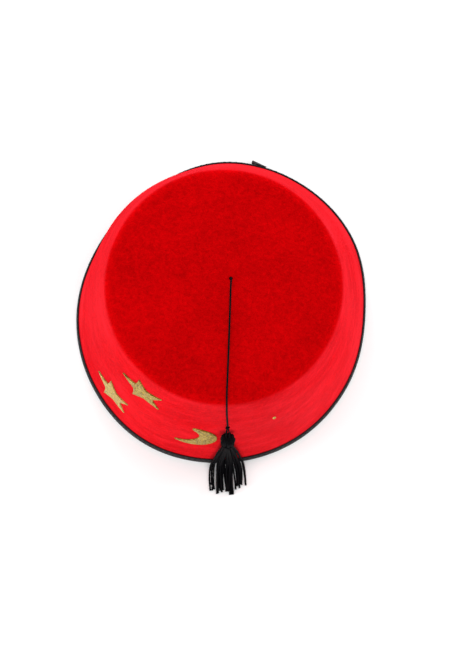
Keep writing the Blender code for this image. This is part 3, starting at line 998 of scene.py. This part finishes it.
@dataclass
class HemTape:
    """Tape folded round the hem, stitched through, with its loose end lifting at the back."""

    finish: Material
    # Tape finish darkened as painted shade, for the loose end.
    shaded_end_finish: Material
    thread: Material
    outside: float = FORM.tape_top * 0.84
    inside: float = 0.006
    thickness: float = 0.00065
    rounding: float = 0.0009
    pucker: float = 0.00012
    pucker_turns: float = 14.0
    pucker_rise: float = 60.0
    edge_turns: float = 21.0
    around: int = 360
    stitch: float = 0.0026
    stitch_gap: float = 0.0011
    stitch_thickness: float = 0.00040
    stitch_height: float = 0.0052
    end_azimuth: float = math.radians(73.0)
    end_length: float = 0.0092
    end_lift: float = 0.0018
    end_low: tuple[float, float] = (0.10, 0.20)
    end_high: tuple[float, float] = (0.92, 0.72)
    end_thickness: float = FORM.tape * 0.85

    def section(self) -> list[tuple[float, float]]:
        """Closed outline of the folded tape, as lift off the felt's outside and height.

        Returns:
            The outline's points, from the outer top edge down and round.
        """
        gap = FORM.gap
        back = -FORM.felt - gap
        outer = gap + self.thickness
        inner = back - self.thickness
        turn = self.rounding
        lip = self.thickness / 2
        rows = [(gap + lip / 2, self.outside), (outer - lip / 3, self.outside - lip / 4)]
        rows += [(outer, self.outside - lip), (outer, self.outside * 0.6), (outer, turn * 1.5)]
        bends = [QUARTER * step / 4 for step in range(5)]
        rows += [(outer - turn * (1 - math.cos(bend)), turn * (1 - math.sin(bend))) for bend in bends[1:]]
        rows += [(inner + turn * (1 - math.sin(bend)), turn * (1 - math.cos(bend))) for bend in bends]
        rows += [(inner, turn * 1.5), (inner, self.inside - lip)]
        rows += [(inner + lip / 3, self.inside - lip / 4), (back, self.inside)]
        rows += [(back, FORM.tape), (gap, FORM.tape), (gap, self.outside * 0.5)]
        return rows

    def place(self, azimuth: float, lift: float, height: float) -> Vector:
        """Point of the tape.

        Args:
            azimuth: direction from the axis.
            lift: distance off the felt's outside.
            height: height over the ground.

        Returns:
            The point, with the tape's slight pucker.
        """
        wall = FORM.wall_at(azimuth)
        pucker = self.pucker * min(height / self.outside, 1.0)
        radius = wall.radius(height) + lift / math.cos(wall.lean)
        radius += pucker * waver(azimuth, self.pucker_turns, rise=height * self.pucker_rise)
        rise = pucker * waver(azimuth, self.edge_turns, shift=7.0)
        return FORM.at_azimuth(azimuth, radius, height + rise)

    def laid(self, point: Vector) -> Vector:
        """Place along the hem of a point of the round band."""
        azimuth, radius = FORM.round_place(point)
        return self.place(azimuth, radius - FORM.hem_radius, point.z)

    def map_tape(self, tape: Piece) -> None:
        """Replaces a piece's UV maps by one in metres, along the tape and across it.

        Args:
            tape: the piece.
        """
        layers = tape.data.uv_layers
        while layers:
            layers.remove(layers[0])
        layer = layers.new(name="tape")
        for face in tape.data.polygons:
            middle = FORM.round_place(face.center)[0]
            for loop in face.loop_indices:
                point = tape.data.vertices[tape.data.loops[loop].vertex_index].co
                turn = (FORM.round_place(point)[0] - middle + math.pi) % math.tau - math.pi
                layer.data[loop].uv = ((middle + turn) * FORM.hem_radius, point.z)

    def build_band(self) -> Piece:
        """Turns a closed section round the cap and lays it along the real hem.

        Returns:
            The folded tape.
        """
        corners = [(FORM.hem_radius + lift, -FORM.axis_shift, height) for lift, height in self.section()]
        band = start_ring("hem_tape", corners)
        spin_round(band, self.around)
        shape_points(band, self.laid)
        self.map_tape(band)
        shade(band)
        return dress(band, self.finish, "black_tape", "hem_binding")

    def build_stitches(self) -> Piece:
        """Models one stitch and copies it round the tape.

        Returns:
            All the stitches as one piece.
        """
        add = bpy.ops.mesh.primitive_uv_sphere_add
        one = start_from("hem_stitches", add, segments=8, ring_count=6, radius=1.0)
        with edit_mode(one):
            stretch(self.stitch / 2, self.stitch_thickness / 2, self.stitch_thickness / 2)
        points = [vert.co.copy() for vert in one.data.vertices]
        faces = [list(face.vertices) for face in one.data.polygons]
        line = bmesh.new()
        perimeter = math.tau * FORM.hem_radius * FORM.mean_reach
        count = round(perimeter / (self.stitch + self.stitch_gap))
        draws = random.Random(11)
        lift = FORM.gap + self.thickness + self.stitch_thickness * 0.12
        for step in range(count):
            azimuth = math.tau * (step + draws.uniform(-0.06, 0.06)) / count
            height = self.stitch_height + draws.uniform(-0.1, 0.1) * MM
            slope = draws.uniform(-0.05, 0.05)
            made = []
            for point in points:
                turn = azimuth + point.x / FORM.hem_radius
                sink = self.stitch_thickness * 0.5 * (2 * point.x / self.stitch) ** 2
                place = self.place(turn, lift + point.y - sink, height + point.z + slope * point.x)
                made.append(line.verts.new(place))
            for face in faces:
                line.faces.new([made[index] for index in face])
        bmesh.ops.recalc_face_normals(line, faces=line.faces)
        line.to_mesh(one.data)
        line.free()
        shade(one)
        return dress(one, self.thread, "black_thread")

    def build_loose_end(self) -> Piece:
        """Models the short end of the tape that lifts away from the wall.

        Returns:
            The loose end, with its cut a little frayed.
        """
        add = bpy.ops.mesh.primitive_grid_add
        end = start_from("hem_tape_end", add, x_subdivisions=18, y_subdivisions=10, size=2.0)
        draws = random.Random(5)

        def placed(point: Vector) -> Vector:
            """Place on the lifting strip of a point of the flat grid.

            Args:
                point: its place on the grid, from -1 to 1 each way.

            Returns:
                The point in the model's frame.
            """
            along = (point.x + 1) / 2
            across = (point.y + 1) / 2
            if along > 0.999:
                along += draws.uniform(-0.3, 0.3) * MM / self.end_length
            low = mix(*self.end_low, along) * self.outside
            high = mix(*self.end_high, along) * self.outside
            lift = self.end_lift * max(along, 0.0) ** 1.3 * mix(1.0, 0.08, across)
            azimuth = self.end_azimuth + along * self.end_length / FORM.hem_radius
            return self.place(azimuth, FORM.gap + self.thickness * 1.6 + lift, mix(low, high, across))

        shape_points(end, placed)
        self.map_tape(end)
        with edit_mode(end):
            face_outwards()
        apply_modifier(end, "SOLIDIFY", thickness=self.end_thickness, offset=0.0, use_even_offset=True)
        shade(end)
        return dress(end, self.shaded_end_finish, "black_tape")


class Motif(Enum):
    """Outline of an ornament."""

    STAR = "star"
    CRESCENT = "crescent"


@dataclass
class Ornament:
    """One glitter ornament that is glued on the wall."""

    node: str
    motif: Motif
    azimuth: float
    slant: float
    finish: Material
    thickness: float = 0.0008
    star_radius: float = 0.0162
    star_waist: float = 0.46
    tip: float = 0.00016
    radius: float = 0.0151
    bite_radius: float = 0.0140
    bite_away: float = 0.0099
    opening: float = math.radians(168.0)
    short_horn: float = math.radians(88.0)
    long_horn: float = math.radians(233.0)
    horn_growth: float = 0.13
    arm_hollow: float = 0.055
    hollow_places: tuple[float, float] = (0.36, 0.7)
    blunt: float = 0.3
    arc_steps: int = 28
    strip: float = 0.0015
    rim: float = 0.00022
    merge: float = 0.00003

    def star_outline(self) -> list[Vector]:
        """Corners of the star, whose arms have slightly hollow edges.

        Returns:
            The closed outline's points in order, across and up.
        """
        corners = []
        for step in range(11):
            reach = self.star_radius * (self.star_waist if step % 2 else 1.0)
            corners.append(ray(math.pi + step * math.pi / 5, reach))
        points = []
        for step, (here, there) in enumerate(zip(corners, corners[1:])):
            points.append(here)
            for share in self.hollow_places:
                from_tip = share if step % 2 == 0 else 1 - share
                hollow = 1 - self.arm_hollow * math.sin(math.pi * from_tip)
                points.append(here.lerp(there, share) * hollow)
        return points

    def crescent_outline(self) -> list[Vector]:
        """Corners of the crescent, with a short blunt upper horn and a long lower one.

        Returns:
            The closed outline's points in order, across and up.
        """
        centre = ray(self.opening, self.bite_away)
        points = []
        for step in range(self.arc_steps + 1):
            share = step / self.arc_steps
            reach = self.radius * (1 + self.horn_growth * share**5)
            points.append(ray(mix(self.short_horn, self.long_horn - math.tau, share), reach))
        tip = points[-1] - centre
        upper = ray(self.short_horn)
        along = upper.dot(centre)
        beyond = math.sqrt(along**2 - centre.length_squared + self.bite_radius**2)
        inner = upper * (along + beyond) - centre
        start = math.atan2(tip.y, tip.x)
        end = math.atan2(inner.y, inner.x)
        for step in range(1, self.arc_steps + 1):
            share = step / self.arc_steps
            reach = mix(tip.length, self.bite_radius, min(3 * share, 1.0))
            points.append(centre + ray(mix(start, end, share), reach))
        blunt = ray(self.short_horn + QUARTER, (points[0] - points[-1]).length * self.blunt)
        points.append((points[0] + points[-1]) / 2 + blunt)
        return points

    def build(self) -> Piece:
        """Cuts the outline from a sheet, rounds its rim and bends it round the wall.

        Returns:
            The ornament.
        """
        star = self.motif is Motif.STAR
        corners = self.star_outline() if star else self.crescent_outline()
        sheet = start_ring(f"{self.node}_glitter", corners)
        count = int(max(abs(corner.x) for corner in corners) / self.strip)
        with edit_mode(sheet):
            bpy.ops.mesh.select_mode(type="VERT")
            bpy.ops.mesh.select_all(action="SELECT")
            bpy.ops.mesh.edge_face_add()
            if star:
                bpy.ops.mesh.bevel(offset=self.tip, segments=3, affect="VERTICES")
            bpy.ops.mesh.select_all(action="SELECT")
            bpy.ops.mesh.quads_convert_to_tris()
            for step in range(-count, count + 1):
                bpy.ops.mesh.select_all(action="SELECT")
                cut = ((step + 0.31) * self.strip, 0.0, 0.0)
                bpy.ops.mesh.bisect(plane_co=cut, plane_no=(1.0, 0.0, 0.0))
            bpy.ops.mesh.select_all(action="SELECT")
            bpy.ops.mesh.remove_doubles(threshold=self.merge)
            bpy.ops.mesh.dissolve_degenerate(threshold=self.merge)
            bpy.ops.mesh.select_all(action="SELECT")
            lift = {"value": (0.0, 0.0, self.thickness)}
            bpy.ops.mesh.extrude_region_move(TRANSFORM_OT_translate=lift)
            bpy.ops.mesh.region_to_loop()
            bpy.ops.mesh.bevel(offset=self.rim, segments=2, affect="EDGES")
            face_outwards()
        shape_points(sheet, partial(FORM.beside, self.azimuth, self.slant))
        shade(sheet)
        return dress(sheet, self.finish, "gold_glitter", self.node)


@dataclass(frozen=True)
class Twist:
    """How a thread is made: its thickness, its plies and the length of one turn."""

    radius: float
    pitch: float
    spacing: float
    sides: int = 10
    plies: int = 2
    groove: float = 0.26

    def reach(self, angle: float) -> float:
        """Radius of the section in a direction of it, least between the plies."""
        crest = abs(math.cos(angle * self.plies / 2))
        return self.radius * (1 - self.groove + self.groove * crest**0.7)


@dataclass
class Strand:
    """One thread: the line that it follows, and how thick it is along it."""

    line: list[Vector]
    thickness: Callable[[float], float] = lambda share: 1.0
    phase: float = 0.0

    def rings(self, line: list[Vector], twist: Twist) -> Iterator[Vector]:
        """Points of the section at each place of the smoothed line.

        Args:
            line: the smoothed line.
            twist: how the thread is made.

        Yields:
            The points, ring by ring.
        """
        along = 0.0
        tangent = (line[1] - line[0]).normalized()
        side = tangent.orthogonal().normalized()
        for index, centre in enumerate(line):
            before = line[max(index - 1, 0)]
            after = line[min(index + 1, len(line) - 1)]
            along += (centre - before).length
            direction = (after - before).normalized()
            side = tangent.rotation_difference(direction) @ side
            side = (side - direction * side.dot(direction)).normalized()
            tangent = direction
            other = direction.cross(side)
            scale = self.thickness(index / (len(line) - 1))
            turn = self.phase + math.tau * along / twist.pitch
            for step in range(twist.sides):
                angle = math.tau * step / twist.sides
                where = side * math.cos(angle + turn) + other * math.sin(angle + turn)
                yield centre + where * (twist.reach(angle) * scale)


def thread_piece(
    name: str, node: str, strands: Iterable[Strand], twist: Twist, finish: Material
) -> Piece:
    """Sweeps a twisted section along every strand, as one mesh with a UV map in metres.

    Args:
        name: the new object's name.
        node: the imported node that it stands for.
        strands: the threads to make.
        twist: how they are twisted.
        finish: their material.

    Returns:
        The threads as one dressed object.
    """
    points: list[Vector] = []
    faces: list[list[int]] = []
    marks: list[tuple[float, float]] = []
    sides = twist.sides
    for strand in strands:
        line = smooth_line(strand.line, twist.spacing)
        base = len(points)
        points += strand.rings(line, twist)
        for row in range(len(line) - 1):
            here = base + row * sides
            start = row * twist.spacing
            end = start + twist.spacing
            for step in range(sides):
                near = (step + 1) % sides
                faces.append([here + step, here + near, here + near + sides, here + step + sides])
                left = step / sides
                right = (step + 1) / sides
                marks += [(start, left), (start, right), (end, right), (end, left)]
        faces.append(list(range(base + sides - 1, base - 1, -1)))
        faces.append(list(range(len(points) - sides, len(points))))
        marks += [(0.0, 0.0)] * (2 * sides)
    mesh = bpy.data.meshes.new(name)
    mesh.from_pydata(points, [], faces)
    layer = mesh.uv_layers.new(name="thread")
    layer.data.foreach_set("uv", np.array(marks, np.float32).ravel())
    mesh.update()
    piece = bpy.data.objects.new(name, mesh)
    bpy.context.scene.collection.objects.link(piece)
    shade(piece, math.radians(70.0))
    return dress(piece, finish, "black_thread", node)


def knot_strand(centre: Vector, radius: float, thread: float, lean: float) -> Strand:
    """Thread tied in a tight overhand knot.

    Args:
        centre: middle of the knot.
        radius: outer radius of the knot.
        thread: radius of its thread.
        lean: how far the knot is turned on its side.

    Returns:
        The knotted strand.
    """
    size = (radius - thread) / 3
    turn = Matrix.Rotation(lean, 3, "X")
    opening = 0.35
    depth = 1.6
    steps = 36
    line = []
    for step in range(steps + 1):
        angle = mix(opening, math.tau - opening, step / steps)
        across = math.sin(angle) + 2 * math.sin(2 * angle)
        up = math.cos(angle) - 2 * math.cos(2 * angle)
        line.append(centre + turn @ Vector((across, up, -depth * math.sin(3 * angle))) * size)
    return Strand(line)


CORD_ROUTE = tuple(
    Vector(place) * MM
    for place in (
        (4.1, 2.3, 116.1),
        (4.1, 2.3, 119.0),
        (4.1, 1.4, 120.8),
        (4.0, -0.6, 121.4),
        (3.9, -3.0, 120.8),
        (3.8, -5.8, 119.6),
        (3.7, -9.8, 119.0),
        (3.3, -21.8, 119.0),
        (2.8, -35.8, 118.9),
        (2.3, -49.8, 118.5),
        (1.9, -59.8, 117.8),
        (1.7, -65.3, 117.3),
        (1.7, -69.0, 116.6),
        (1.7, -71.7, 114.5),
        (1.8, -73.0, 111.3),
        (2.0, -75.4, 101.0),
        (2.4, -77.8, 90.6),
        (2.9, -80.7, 78.0),
    )
)


@dataclass
class TasselLay:
    """Where the tassel lies: down the wall, round a bend and out over the ground."""

    cord_end: Vector
    cord_radius: float
    ground_bend: float = 0.009
    head_radius: float = 0.00465

    def __post_init__(self) -> None:
        """Works out the line that the tassel follows."""
        form = FORM
        self.azimuth = form.round_place(self.cord_end)[0]
        self.lean = form.wall_at(self.azimuth).lean
        self.rest = form.gap + form.tape
        level = self.cord_end.z - (form.gap + self.cord_radius) * math.sin(self.lean)
        self.start = (form.height - level) / math.cos(self.lean)
        corner = (form.height + self.rest * math.sin(self.lean)) / math.cos(self.lean)
        self.turn = QUARTER - self.lean
        self.bend = corner - self.ground_bend * math.tan(self.turn / 2)

    def point(self, across: float, along: float, lift: float) -> Vector:
        """Point of the tassel.

        Args:
            across: distance to the side.
            along: distance from the cord's end.
            lift: distance off the face of the tape.

        Returns:
            The point in the model's frame.
        """
        slant = self.start + along
        angle = min(max((slant - self.bend) / self.ground_bend, 0.0), self.turn)
        beyond = max(slant - self.bend - self.ground_bend * self.turn, 0.0)
        start = FORM.on_wall(self.azimuth, min(slant, self.bend), self.rest)
        radius = FORM.round_place(start)[1] + beyond + lift * math.cos(self.lean + angle)
        radius += self.ground_bend * (math.cos(self.lean) - math.cos(self.lean + angle))
        height = start.z + lift * math.sin(self.lean + angle)
        height += self.ground_bend * (math.sin(self.lean) - math.sin(self.lean + angle))
        return FORM.at_azimuth(self.azimuth, radius, height) - ray(self.azimuth + QUARTER, across)

    @property
    def axis(self) -> float:
        """Lift of the middle of the tassel's head, which lies on the felt."""
        return FORM.gap + self.head_radius - self.rest

    @property
    def cord(self) -> float:
        """Lift of the middle of the cord, which lies on the felt."""
        return FORM.gap + self.cord_radius - self.rest


@dataclass
class CordRun:
    """The cord from the crown's hole to the tassel, and the knots on its two ends."""

    finish: Material
    twist: Twist = Twist(radius=0.0006, pitch=0.0042, spacing=0.0003, sides=15, plies=3)
    knot_twist: Twist = Twist(radius=0.00050, pitch=0.0022, spacing=0.0002)
    inner_knot_radius: float = 0.0020
    inner_knot_swell: float = 1.2
    inner_knot_lean: float = 0.2
    end_knot_radius: float = 0.0015
    end_knot_lean: float = 1.2

    def __post_init__(self) -> None:
        """Works out the cord's line."""
        self.line = smooth_line(CORD_ROUTE, self.twist.spacing)
        self.lay = TasselLay(self.line[-1], self.twist.radius)

    @property
    def length(self) -> float:
        """Length of the cord along its line."""
        return float(lengths_along(np.array(self.line))[-1])

    @property
    def knot_along(self) -> float:
        """Distance of the end knot's middle from the cord's end."""
        return FORM.gap + self.end_knot_radius

    def build(self) -> list[Piece]:
        """Makes the cord and its knots.

        Returns:
            The cord, the inner knot and the end knot.
        """
        cord = thread_piece("cord_twisted", "tassel_cord", [Strand(self.line)], self.twist, self.finish)
        low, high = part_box("inner_knot")
        thread = self.knot_twist.radius
        lift = self.lay.cord + self.end_knot_radius - self.twist.radius
        middle = self.lay.point(0.0, self.knot_along, lift)
        swollen = thread * self.inner_knot_swell
        inner = knot_strand((low + high) / 2, self.inner_knot_radius, swollen, self.inner_knot_lean)
        outer = knot_strand(middle, self.end_knot_radius, thread, self.end_knot_lean)
        return [
            cord,
            thread_piece("inner_knot_tied", "inner_knot", [inner], self.knot_twist, self.finish),
            thread_piece("end_knot_tied", "cord_knot", [outer], self.knot_twist, self.finish),
        ]


@dataclass(frozen=True)
class Clump:
    """Neighbouring strands of the skirt, with places as shares of the skirt's half width."""

    first: float
    last: float
    count: int
    layer: int
    length: float


@dataclass
class Tassel:
    """The tassel: loop, head of folded threads, wound neck and skirt."""

    finish: Material
    lay: TasselLay
    start: float
    loop_thread: Twist = Twist(radius=0.00045, pitch=0.0021, spacing=0.0002)
    loop_length: float = 0.0083
    loop_spread: float = 0.0007
    loop_pinch: float = 0.0003
    loop_tuck: float = 0.0012
    loop_hook: float = 0.0014
    loop_steps: int = 8
    head_thread: Twist = Twist(radius=0.00052, pitch=0.0028, spacing=0.0005, sides=8)
    head_length: float = 0.008
    head_layers: tuple[int, ...] = (30, 24)
    head_steps: int = 14
    head_places: tuple[float, ...] = (0.0, 0.05, 0.18, 0.42, 0.66, 0.86, 1.0)
    head_shares: tuple[float, ...] = (0.10, 0.50, 0.84, 1.0, 0.97, 0.80)
    neck_radius: float = 0.0029
    neck_length: float = 0.005
    wrap_thread: Twist = Twist(radius=0.00036, pitch=0.0019, spacing=0.0003, sides=8)
    wrap_turns: int = 7
    turn_steps: int = 20
    crossing_turns: int = 2
    crossing_lift: float = 2.6
    skirt_thread: Twist = Twist(radius=0.0006, pitch=0.0034, spacing=0.0007, sides=8)
    skirt_length: float = 0.073
    skirt_width: float = 0.024
    strand_steps: int = 22
    clumps: tuple[Clump, ...] = (
        Clump(-1.00, -0.93, 2, 0, 0.93),
        Clump(-0.80, -0.52, 4, 0, 0.96),
        Clump(-0.76, -0.56, 3, 1, 0.93),
        Clump(-0.38, 0.10, 6, 0, 0.99),
        Clump(-0.35, 0.08, 6, 1, 1.00),
        Clump(-0.30, 0.05, 5, 2, 0.97),
        Clump(0.24, 0.58, 5, 0, 0.98),
        Clump(0.28, 0.60, 4, 1, 0.96),
        Clump(0.30, 0.50, 3, 2, 0.95),
        Clump(0.74, 0.98, 3, 0, 0.97),
        Clump(0.80, 0.92, 2, 1, 0.95),
    )

    @property
    def head_start(self) -> float:
        """Where the head starts, along from the cord's end."""
        return self.start + self.loop_length

    @property
    def neck_start(self) -> float:
        """Where the neck starts, along from the cord's end."""
        return self.head_start + self.head_length

    @property
    def skirt_start(self) -> float:
        """Where the skirt leaves the neck, along from the cord's end."""
        return self.neck_start + self.neck_length

    def round_axis(self, turn: float, wide: float, along: float) -> Vector:
        """Point round the middle line of the head and the neck."""
        return self.lay.point(wide * math.cos(turn), along, self.lay.axis + wide * math.sin(turn))

    def head_reach(self, share: float) -> float:
        """Radius of the head, a share of the way down it."""
        shares = (*self.head_shares, self.neck_radius / self.lay.head_radius)
        return float(np.interp(share, self.head_places, shares)) * self.lay.head_radius

    def build_loop(self) -> Piece:
        """Makes the narrow loop of thread from the head up to the cord's knot.

        Returns:
            The loop.
        """
        route = []
        for step in range(self.loop_steps + 1):
            share = step / self.loop_steps
            across = self.loop_spread * math.sin(math.pi * min(share * 1.25, 1.0)) + self.loop_pinch
            along = mix(self.head_start + self.loop_tuck, self.start - self.loop_hook, share)
            route.append((across, along))
        route += [(-across, along) for across, along in reversed(route)]
        line = []
        for across, along in route:
            share = eased((along - self.start) / self.loop_length)
            lift = mix(self.lay.cord + self.loop_thread.radius * 2, self.lay.axis, share)
            line.append(self.lay.point(across, along, lift))
        strands = [Strand(line)]
        return thread_piece("tassel_loop_thread", "tassel_loop", strands, self.loop_thread, self.finish)

    def build_head(self) -> Piece:
        """Makes the head: threads folded over the loop, running down to the neck.

        Returns:
            The head's threads.
        """
        draws = random.Random(3)
        strands = []
        thread = self.head_thread.radius
        for layer, count in enumerate(self.head_layers):
            for number in range(count):
                angle = math.tau * (number + draws.uniform(-0.25, 0.25)) / count
                drift = draws.uniform(-0.25, 0.25)
                bulge = draws.uniform(-0.25, 0.2) * MM
                line = []
                for step in range(self.head_steps + 1):
                    share = step / self.head_steps
                    wide = self.head_reach(share) + bulge * math.sin(math.pi * share)
                    wide = max(wide - thread * (1 + 1.5 * layer), 0.1 * MM)
                    along = self.head_start + self.head_length * share
                    line.append(self.round_axis(angle + drift * share, wide, along))
                end = self.neck_start + self.neck_length * 0.6
                line.append(self.round_axis(angle + drift, self.neck_radius * 0.8, end))
                strands.append(Strand(line, phase=draws.uniform(0.0, math.tau)))
        return thread_piece("tassel_head_threads", "tassel", strands, self.head_thread, self.finish)

    def build_wrap(self) -> Piece:
        """Winds thread round the neck, with two turns that cross over the others.

        Returns:
            The winding.
        """
        thread = self.wrap_thread.radius
        begin = self.neck_start + thread
        end = self.skirt_start - thread
        draws = random.Random(8)
        winding = []
        steps = self.wrap_turns * self.turn_steps
        for step in range(steps + 1):
            share = step / steps
            turn = math.tau * self.wrap_turns * share
            wide = self.neck_radius + thread * (1.0 + 0.25 * math.sin(turn * 0.37))
            along = mix(begin, end, share) + draws.uniform(-0.05, 0.05) * MM
            winding.append(self.round_axis(turn, wide, along))
        crossing = []
        steps = self.crossing_turns * self.turn_steps
        for step in range(steps + 1):
            share = step / steps
            along = mix(begin, end, 0.5 - 0.45 * math.cos(math.tau * share * 1.5))
            turn = math.tau * self.crossing_turns * share + 0.6
            wide = self.neck_radius + thread * self.crossing_lift
            crossing.append(self.round_axis(turn, wide, along))
        strands = [Strand(winding), Strand(crossing)]
        return thread_piece("tassel_wrap_thread", "tassel_wrap", strands, self.wrap_thread, self.finish)

    def strand_line(self, place: float, layer: int, length: float, draws: random.Random) -> list[Vector]:
        """Line of one strand of the skirt, from inside the neck to its cut end.

        Args:
            place: where it ends across the skirt, as a share of the half width.
            layer: how many strands lie under it.
            length: its share of the skirt's length.
            draws: the source of small differences.

        Returns:
            The points of its line.
        """
        thread = self.skirt_thread.radius
        begin = self.skirt_start - self.neck_length / 2
        whole = self.neck_length / 2 + self.skirt_length * length
        turn = draws.uniform(0.0, math.tau)
        wave = draws.uniform(0.2, 0.9) * MM
        count = draws.uniform(1.0, 2.2)
        sway = draws.uniform(-0.5, 0.5) * MM
        neck = self.neck_radius * draws.uniform(0.35, 0.75)
        edge = self.skirt_width / 2 - thread
        near = self.lay.axis + (layer - 1) * self.neck_radius * 0.45
        rest = FORM.gap + thread * (1.0 + 1.9 * layer)
        line = []
        for step in range(self.strand_steps + 1):
            share = step / self.strand_steps
            across = mix(neck * place, edge * place + sway, eased(share) ** 0.8)
            across += wave * math.sin(turn + math.tau * count * share) * share
            lift = mix(near, rest, eased(2.2 * share))
            lift += thread * 0.5 * layer * math.sin(turn + 5.0 * share) * share
            line.append(self.lay.point(across, begin + whole * share, lift))
        return line

    def build_skirt(self) -> Piece:
        """Makes the strands of the skirt, clump by clump.

        Returns:
            The skirt.
        """
        draws = random.Random(21)
        strands = []

        def thickness(share: float) -> float:
            """Strand's thickness: tight in the neck, full below, flared at the cut."""
            return mix(0.72, 1.0, eased(4 * share)) * (1.0 + 0.22 * eased(30 * share - 29))

        for clump in self.clumps:
            for number in range(clump.count):
                share = number / max(clump.count - 1, 1)
                place = mix(clump.first, clump.last, share) + draws.uniform(-0.02, 0.02)
                length = clump.length + draws.uniform(-0.045, 0.01)
                line = self.strand_line(place, clump.layer, length, draws)
                strands.append(Strand(line, thickness, draws.uniform(0.0, math.tau)))
        return thread_piece("tassel_skirt", "tassel", strands, self.skirt_thread, self.finish)


@dataclass
class StrayFlake:
    """A single glitter flake that has come off and clings to the wall."""

    finish: Material
    azimuth: float = math.radians(292.9)
    slant: float = 0.0475
    size: float = 0.00115
    depth: float = 0.00025
    rim: float = 0.00006
    tilt: float = 0.75

    def build(self) -> Piece:
        """Makes the flake.

        Returns:
            The flake.
        """
        add = bpy.ops.mesh.primitive_cylinder_add
        flake = start_from("stray_flake", add, vertices=6, radius=self.size, depth=self.depth)
        with edit_mode(flake):
            stretch(1.0, 0.6, 1.0)
            bpy.ops.mesh.bevel(offset=self.rim, segments=1, affect="EDGES")
        shape_points(flake, self.clinging)
        shade(flake)
        return dress(flake, self.finish, "gold_glitter")

    def clinging(self, point: Vector) -> Vector:
        """Place of a point of the flake, whose lower end stands off the felt."""
        lift = point.z + self.tilt * (0.7 * self.size - point.y) + 0.1 * MM
        return FORM.beside(self.azimuth, self.slant, Vector((point.x, point.y, lift)))


@dataclass(frozen=True)
class Lamp:
    """Soft square light that faces the cap, with its azimuth in degrees and its power in watts."""

    name: str
    azimuth: float
    power: float
    away: float = 1.25
    height: float = 0.24
    size: float = 0.42

    def hang(self) -> None:
        """Adds the light to the scene."""
        data = bpy.data.lights.new(self.name, "AREA")
        data.size = self.size
        data.energy = self.power
        light = bpy.data.objects.new(self.name, data)
        light.location = ray(math.radians(self.azimuth), self.away) + Vector((0.0, 0.0, self.height))
        aim = Vector((0.0, 0.0, 0.05)) - light.location
        light.rotation_euler = aim.to_track_quat("-Z", "Y").to_euler()
        light.visible_camera = False
        bpy.context.scene.collection.objects.link(light)


@dataclass
class Studio:
    """Floor, soft lights and the camera at the photograph's angle."""

    floor: Material
    floor_size: float = 6.0
    lamps: tuple[Lamp, ...] = (
        Lamp("overhead", 90.0, 10.0, away=0.8, height=1.8, size=1.5),
        Lamp("side_0", 20.0, 10.6),
        Lamp("side_1", 105.0, 8.0),
        Lamp("side_2", 195.0, 9.6),
        Lamp("side_3", 278.0, 6.4),
    )
    room_light: float = 0.90
    camera_place: Triple = (-0.01692, -0.16383, 1.17576)
    camera_lean: float = math.radians(-1.106)
    camera_tilt: float = math.radians(7.530)
    focal_pixels: float = 1845.0
    long_side: int = 646
    sensor: float = 36.0

    def build_floor(self) -> None:
        """Lays the floor."""
        floor = start_from("floor", bpy.ops.mesh.primitive_plane_add, size=self.floor_size)
        floor.data.materials.append(self.floor)

    def build_lights(self) -> None:
        """Hangs the lamps and sets the even light of the room."""
        for lamp in self.lamps:
            lamp.hang()
        world = bpy.data.worlds.new("studio")
        world.use_nodes = True
        background = world.node_tree.nodes["Background"]
        background.inputs["Color"].default_value = (1.0, 1.0, 1.0, 1.0)
        background.inputs["Strength"].default_value = self.room_light
        bpy.context.scene.world = world
        bpy.context.scene.view_settings.view_transform = "Standard"

    def build_camera(self) -> None:
        """Places the camera nearly over the cap, tilted as the photograph shows it."""
        data = bpy.data.cameras.new("camera")
        data.sensor_width = self.sensor
        data.lens = self.focal_pixels * self.sensor / self.long_side
        data.clip_start = 0.05
        camera = bpy.data.objects.new("camera", data)
        turn = Matrix.Rotation(self.camera_lean, 4, "Y") @ Matrix.Rotation(self.camera_tilt, 4, "X")
        camera.matrix_world = Matrix.Translation(self.camera_place) @ turn
        bpy.context.scene.collection.objects.link(camera)
        bpy.context.scene.camera = camera


def main() -> None:
    """Builds the fez piece by piece, and the studio round it."""
    logging.basicConfig(level=logging.INFO, format="%(name)s: %(message)s")
    effects = Effects()
    felt = FeltFinish().build(effects)
    tape = TapeFinish().build(effects)
    shaded_tape_end = TapeFinish(name="black_tape_end", high=(0.005, 0.0043, 0.0047)).build(effects)
    thread = ThreadFinish().build(effects)
    glitter = GlitterFinish().build(effects)
    pale = GlitterFinish(name="gold_glitter_pale", dark=(0.14, 0.098, 0.020), gold=(0.38, 0.275, 0.085))
    pale_glitter = pale.build(effects)

    studio = Studio(FloorFinish().build(effects))
    studio.build_camera()
    studio.build_lights()
    studio.build_floor()

    run = CordRun(thread)
    cord, _, end_knot = run.build()
    tassel = Tassel(thread, run.lay, run.knot_along + run.end_knot_radius + FORM.gap)
    beside_cord = [end_knot, tassel.build_loop(), tassel.build_head(), tassel.build_wrap()]
    tassel.build_skirt()
    tuple(CORD_ROUTE[1])
    run.length
    [tuple(point) for point in run.line]

    FeltCap(felt).build()
    hem = HemTape(tape, shaded_tape_end, thread)
    hem.build_band()
    hem.build_stitches()
    hem.build_loose_end()
    Ornament("star_upper", Motif.STAR, math.radians(231.1), 0.0332, glitter).build()
    Ornament("star_lower", Motif.STAR, math.radians(219.1), 0.0847, pale_glitter).build()
    Ornament("crescent", Motif.CRESCENT, math.radians(257.6), 0.0693, glitter).build()
    StrayFlake(pale_glitter).build()


if __name__ == "__main__":
    main()
